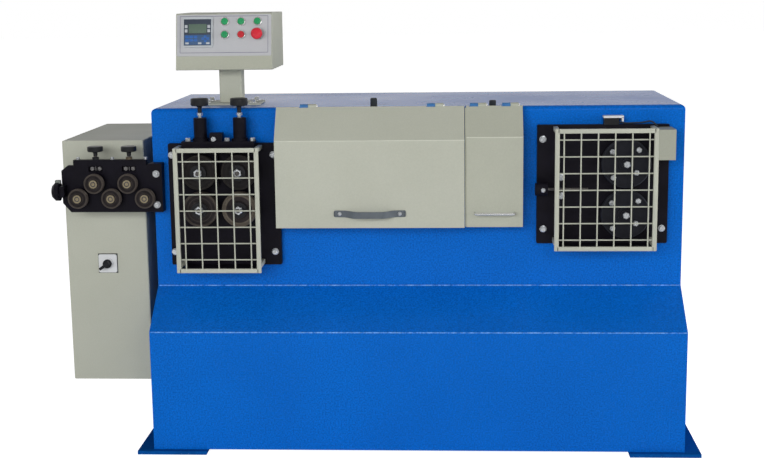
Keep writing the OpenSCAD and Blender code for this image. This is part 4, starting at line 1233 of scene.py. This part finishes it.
@dataclass
class Controls:
    """The control box on its column, with its film, display, buttons and emergency stop.

    Attributes:
        x: middle of the box.
        y: depth of the face's lower edge.
        z: height of the face's lower edge.
        height: height of the box.
        lean: how far the face leans back over that height.
        film_w: width of the film.
        film_z: start of the film up the face.
        film_h: height of the film.
        film_t: thickness of the film.
        inset: distance of the printed line from the film's edge.
        display: left and right, lower and upper edge of the display unit.
        display_t: how far the display unit stands off the film.
        face_in: distance of the dark face from the display unit's four edges.
        window: left, right, lower and upper edge of the window on the dark face.
        field: the same of the blue field.
        side_keys: the same of the pale keys beside the window.
        low_keys: the same of the pale keys in the blue field.
        blue_keys: the same of the blue keys.
        button_x: places of the buttons across the face.
        rows: places of the two rows up the face.
        rim: outline of a button's rim.
        lens: outline of a button's lens.
        stop_collar: outline of the emergency stop's collar.
        stop_head: outline of the emergency stop's head.
        bolt_x: places of the column's bolts along its base.
        bolt_y: places of the column's bolts across its base.
        base_top: height of the top of the column's base.
    """

    x: float = -625.0
    y: float = 90.0
    z: float = 1216.0
    height: float = 182.0
    lean: float = 40.0
    film_w: float = 310.0
    film_z: float = 46.0
    film_h: float = 136.0
    film_t: float = 2.0
    inset: float = 11.0
    display: tuple = (-133.0, -36.0, 74.0, 174.0)
    display_t: float = 7.0
    face_in: tuple = (2.5, 5.0, 6.0, 8.0)
    window: tuple = (16.0, 74.5, 40.0, 70.0)
    field: tuple = (2.0, 87.5, 2.0, 35.0)
    side_keys: tuple = tuple((x, x + 9.0, z, z + 10.0) for z in (57.0, 43.0)
                             for x in (3.0, 77.5))
    low_keys: tuple = tuple((x, x + 11.0, 4.0, 10.0) for x in (5.0, 47.0, 73.5))
    blue_keys: tuple = (*((x, x + 11.0, z, z + 8.0) for x in (5.0, 19.0, 33.0)
                          for z in (13.0, 24.0)),
                        *((x, x + 8.0, z, z + 8.0) for x, z in (
                            (58.5, 18.0), (74.5, 18.0), (66.5, 11.0), (66.5, 25.0))))
    button_x: tuple = (3.0, 56.5, 110.0)
    rows: tuple = (115.0, 158.0)
    rim: tuple = ((10.8, 0), (10.8, 6.4), (12, 7), (13.8, 6.6), (15, 4), (15, 0), (10.8, 0))
    lens: tuple = ((0, 0.5), (10.8, 0.5), (10.6, 9.6), (9, 10.8), (6, 11.2), (0, 11.3))
    stop_collar: tuple = ((0, 0), (15, 0), (15, 5), (14, 6), (11, 7), (11, 17), (0, 17))
    stop_head: tuple = ((0, 16), (14, 16.5), (18, 18.5), (19, 21), (18.5, 25), (16, 28.5),
                        (11, 30.4), (6, 31), (0, 31))
    bolt_x: tuple = (-692.0, -540.0)
    bolt_y: tuple = (140.0, 230.0)
    base_top: float = 1106.0

    @property
    def face(self) -> Matrix:
        """The transform from the face's own axes, in metres, to the frame."""
        tilt = math.atan2(self.lean, self.height)
        return Matrix.Translation(at(self.x, self.y, self.z)) @ Matrix.Rotation(-tilt, 4, "X")

    def spot(self, x: float, z: float, out: float) -> Vector:
        """A point on the face, with its distance off it, in millimetres."""
        return self.face @ (Vector((x, -out, z)) * MM)

    @property
    def off(self) -> Vector:
        """The way that the face looks."""
        return self.face.to_3x3() @ FORTH

    def plate(self, piece: Piece, x: tuple, z: tuple, out: tuple, edge: float = 0.0) -> None:
        """Adds a flat plate on the face.

        Args:
            piece: the piece that gets it.
            x: its left and right edge.
            z: its lower and upper edge.
            out: its back and front, off the face.
            edge: rounding of its edges.
        """
        piece.bar(Vector((x[0], -out[1], z[0])) * MM, Vector((x[1], -out[0], z[1])) * MM,
                  edge, turn=self.face)

    def dress(self) -> None:
        """Gives the box, the column, the film and the display their finishes."""
        paint("control_box", Look.CREAM_DIM.value.material())
        paint("control_column", Look.CREAM.value.material())
        paint("control_panel", Look.FILM.value.material())
        paint("display_unit", Look.PALE_KEY.value.material())

    def build(self) -> None:
        """Adds the film's line, the display's window and keys, and the buttons."""
        self.build_line()
        self.build_display()
        for number, (x, row) in enumerate([(self.button_x[0], 0), (self.button_x[0], 1),
                                           (self.button_x[1], 1), (self.button_x[2], 1)]):
            self.build_button(f"start_button_{number + 1}", x, self.rows[row], Look.GREEN,
                              Slot.GREEN, "start_buttons")
        self.build_button("stop_button_round", self.button_x[1], self.rows[0], Look.RED,
                          Slot.RED, "stop_button")
        self.build_stop()
        bolts = Piece("column_bolts")
        for x in self.bolt_x:
            for y in self.bolt_y:
                bolts.hex_bolt(at(x, y, self.base_top), UP, Bolt.COLUMN)
        bolts.done(MACHINE, Look.CHROME, Slot.ZINC)

    def build_line(self) -> None:
        """Adds the thin printed line inside the film's edge."""
        line = Piece("film_line")
        x0, x1 = self.inset - self.film_w / 2, self.film_w / 2 - self.inset
        z0, z1 = self.film_z + self.inset, self.film_z + self.film_h - self.inset / 2
        out = (self.film_t - 0.1, self.film_t + 0.25)
        for z in (z0, z1):
            self.plate(line, (x0, x1), (z - 0.8, z + 0.8), out)
        for x in (x0, x1):
            self.plate(line, (x - 0.8, x + 0.8), (z0, z1), out)
        line.done(MACHINE, Look.INK, Slot.FILM)

    def build_display(self) -> None:
        """Adds the display's dark face, its window, its blue field and the printed keys."""
        left, right, low, high = self.face_in
        x0, x1 = self.display[0] + left, self.display[1] - right
        z0, z1 = self.display[2] + low, self.display[3] - high
        front = self.film_t + self.display_t
        face = Piece("display_face")
        self.plate(face, (x0, x1), (z0, z1), (front - 0.2, front + 0.3), 0.2)
        face.done(MACHINE, Look.KEYFIELD, Slot.DISPLAY)
        flat, raised = (front + 0.1, front + 0.9), (front + 0.3, front + 1.3)
        for name, look, groups in (
                ("display_window", Look.CRYSTAL, (((self.window,), flat, 0.3),)),
                ("display_blue_field", Look.BLUE_FIELD, (((self.field,), flat, 0.3),)),
                ("display_keys", Look.PALE_KEY,
                 ((self.side_keys, flat, 0.4), (self.low_keys, raised, 0.3))),
                ("display_blue_keys", Look.BLUE_KEY, ((self.blue_keys, raised, 0.3),))):
            piece = Piece(name)
            for boxes, out, edge in groups:
                for box in boxes:
                    self.plate(piece, (x0 + box[0], x0 + box[1]), (z0 + box[2], z0 + box[3]),
                               out, edge)
            piece.done(MACHINE, look, Slot.DISPLAY)

    def build_button(self, name: str, x: float, z: float, look: Look, slot: Slot,
                     node: str) -> None:
        """Builds a push-button: a bright rim and a domed lens.

        Args:
            name: name of the new piece.
            x: place across the face.
            z: place up the face.
            look: finish of the lens.
            slot: the lens's slot.
            node: the solid that it is shown in place of.
        """
        base = self.spot(x, z, self.film_t)
        Piece(f"{name}_rim").lathe(base, self.off, self.rim).done(
            MACHINE, Look.CHROME, Slot.CHROME)
        Piece(name).lathe(base, self.off, self.lens).done(
            MACHINE, look, slot, stands_for=[node])

    def build_stop(self) -> None:
        """Builds the emergency stop: a collar, a neck and a red mushroom head."""
        base = self.spot(self.button_x[2], self.rows[0], self.film_t)
        Piece("stop_collar").lathe(base, self.off, self.stop_collar).done(
            MACHINE, Look.PHENOLIC, Slot.BLACK_PLASTIC)
        Piece("stop_head").lathe(base, self.off, self.stop_head).done(
            MACHINE, Look.STOP_RED, Slot.RED, stands_for=["emergency_stop"])


@dataclass
class Studio:
    """The plain floor, the soft light and the camera at the photo's view.

    Attributes:
        eye: place of the camera, in metres.
        yaw: turn of the camera to the right, in degrees.
        pitch: how far it looks down, in degrees.
        roll: its tilt, in degrees.
        lens: focal length for a 36 mm sensor.
        fill_side: strength of the light from all round at eye height.
        fill_top: strength of the light from overhead.
        key: power of the large lamp in front.
        side: power of the lamp at the right.
        sparkle: power of the small lamp that gives glossy edges their highlights.
        room_front: brightness of the room in front, as glossy faces mirror it.
        room_back: brightness of the room behind, as glossy faces mirror it.
        floor: colour of the floor.
        aim: point that the lamps face.
        key_spot: place of the large lamp.
        side_spot: place of the lamp at the right.
        sparkle_spot: place of the small lamp.
        glow: light that the camera alone sees on the floor, to make it as pale as the backdrop.
    """

    eye: tuple = (0.2586, -4.4819, 1.4652)
    yaw: float = -3.173
    pitch: float = 10.203
    roll: float = -0.716
    lens: float = 62.913
    fill_side: float = 0.62
    fill_top: float = 0.03
    key: float = 240.0
    side: float = 170.0
    sparkle: float = 20.0
    room_front: float = 0.42
    room_back: float = 1.0
    floor: str = "f4f4f4"
    aim: tuple = (0.0, 0.0, 0.75)
    key_spot: tuple = (-1.9, -6.4, 2.2)
    side_spot: tuple = (5.2, -0.7, 1.5)
    sparkle_spot: tuple = (1.4, -4.6, 2.4)
    glow: float = 0.9

    def build(self) -> None:
        """Sets the floor, the world, the lamp and the camera."""
        self.build_floor()
        self.build_world()
        self.lamp("front_lamp", self.key, (4.4, 2.4), self.key_spot, False)
        self.lamp("side_lamp", self.side, (2.6, 2.0), self.side_spot, False)
        self.lamp("sparkle_lamp", self.sparkle, (1.0, 0.7), self.sparkle_spot, True)
        camera = bpy.data.cameras.new("photo_view")
        camera.lens = self.lens
        camera.sensor_width = 36.0
        holder = bpy.data.objects.new("photo_view", camera)
        bpy.context.scene.collection.objects.link(holder)
        holder.matrix_world = self.view()
        bpy.context.scene.camera = holder
        bpy.context.scene.view_settings.view_transform = "Standard"

    def build_floor(self) -> None:
        """Lays the pale floor."""
        bm = bmesh.new()
        bmesh.ops.create_grid(bm, x_segments=1, y_segments=1, size=40.0)
        mesh = bpy.data.meshes.new("floor")
        bm.to_mesh(mesh)
        bm.free()
        finish = Finish("studio_floor", self.floor, self.floor, rough=0.9, rough_swing=0.02,
                        grain_mm=40, grain_deep_mm=0.01, specular=0.1)
        material = finish.material()
        tree = material.node_tree
        path = add_node(tree, "ShaderNodeLightPath")
        glow = add_node(tree, "ShaderNodeMath", {1: self.glow},
                        {0: path.outputs["Is Camera Ray"]}, operation="MULTIPLY")
        shader = next(n for n in tree.nodes if n.type == "BSDF_PRINCIPLED")
        shader.inputs["Emission Color"].default_value = linear("ffffff")
        tree.links.new(glow.outputs["Value"], shader.inputs["Emission Strength"])
        mesh.materials.append(material)
        floor = bpy.data.objects.new("floor", mesh)
        bpy.context.scene.collection.objects.link(floor)

    def build_world(self) -> None:
        """Sets a white background, a plain fill and the room that glossy faces mirror."""
        world = bpy.data.worlds.new("studio")
        bpy.context.scene.world = world
        world.use_nodes = True
        tree = world.node_tree
        tree.nodes.clear()
        path = add_node(tree, "ShaderNodeLightPath")
        coords = add_node(tree, "ShaderNodeTexCoord")
        axes = add_node(tree, "ShaderNodeSeparateXYZ", links={0: coords.outputs["Generated"]})
        room = add_node(tree, "ShaderNodeMapRange",
                        {"From Min": -0.4, "From Max": 0.6, "To Min": self.room_front,
                         "To Max": self.room_back}, {"Value": axes.outputs["Y"]})
        fill = add_node(tree, "ShaderNodeMapRange",
                        {"From Min": 0.2, "From Max": 0.6, "To Min": self.fill_side,
                         "To Max": self.fill_top}, {"Value": axes.outputs["Z"]})
        seen = add_node(tree, "ShaderNodeMix",
                        links={0: path.outputs["Is Glossy Ray"], 2: fill.outputs["Result"],
                               3: room.outputs["Result"]})
        level = add_node(tree, "ShaderNodeMix", {3: 1.0},
                         {0: path.outputs["Is Camera Ray"], 2: seen.outputs[0]})
        back = add_node(tree, "ShaderNodeBackground", {"Color": (1.0, 1.0, 1.0, 1.0)},
                        {"Strength": level.outputs[0]})
        add_node(tree, "ShaderNodeOutputWorld", links={"Surface": back.outputs["Background"]})

    def lamp(self, name: str, power: float, size: tuple, spot: tuple, mirrored: bool) -> None:
        """Hangs a soft lamp at a spot and turns it to the machine.

        Args:
            name: name of the lamp.
            power: its power in watts.
            size: its width and height, in metres.
            spot: its place, in metres.
            mirrored: whether glossy faces show it.
        """
        light = bpy.data.lights.new(name, "AREA")
        light.shape = "RECTANGLE"
        light.size, light.size_y = size
        light.energy = power
        holder = bpy.data.objects.new(name, light)
        ahead = Vector(self.aim) - Vector(spot)
        holder.matrix_world = (Matrix.Translation(Vector(spot))
                               @ ahead.to_track_quat("-Z", "Y").to_matrix().to_4x4())
        holder.visible_glossy = mirrored
        bpy.context.scene.collection.objects.link(holder)

    def view(self) -> Matrix:
        """The camera's transform from its place and its three turns."""
        yaw, pitch, roll = (math.radians(a) for a in (self.yaw, self.pitch, self.roll))
        ahead = Vector((math.sin(yaw) * math.cos(pitch), math.cos(yaw) * math.cos(pitch),
                        -math.sin(pitch)))
        right = Vector((math.cos(yaw), -math.sin(yaw), 0))
        up = right.cross(ahead)
        side = right * math.cos(roll) + up * math.sin(roll)
        top = up * math.cos(roll) - right * math.sin(roll)
        turn = Matrix((side, top, -ahead)).transposed().to_4x4()
        return Matrix.Translation(Vector(self.eye)) @ turn


def main() -> None:
    """Builds the machine's looks in order."""
    logging.basicConfig(level=logging.INFO, format="%(name)s: %(message)s")
    for part in (Body(), SideCabinet(), RollerHead(), FeedUnit(), CuttingUnit(), Covers(),
                 Controls()):
        part.dress()
        part.build()
        LOG.info("%s done", type(part).__name__)
    Guard("feed_guard", "feed_plate", 5, 7).build()
    Guard("cutter_guard", "cutter_plate", 6, 7).build()
    Studio().build()


if __name__ == "__main__":
    main()
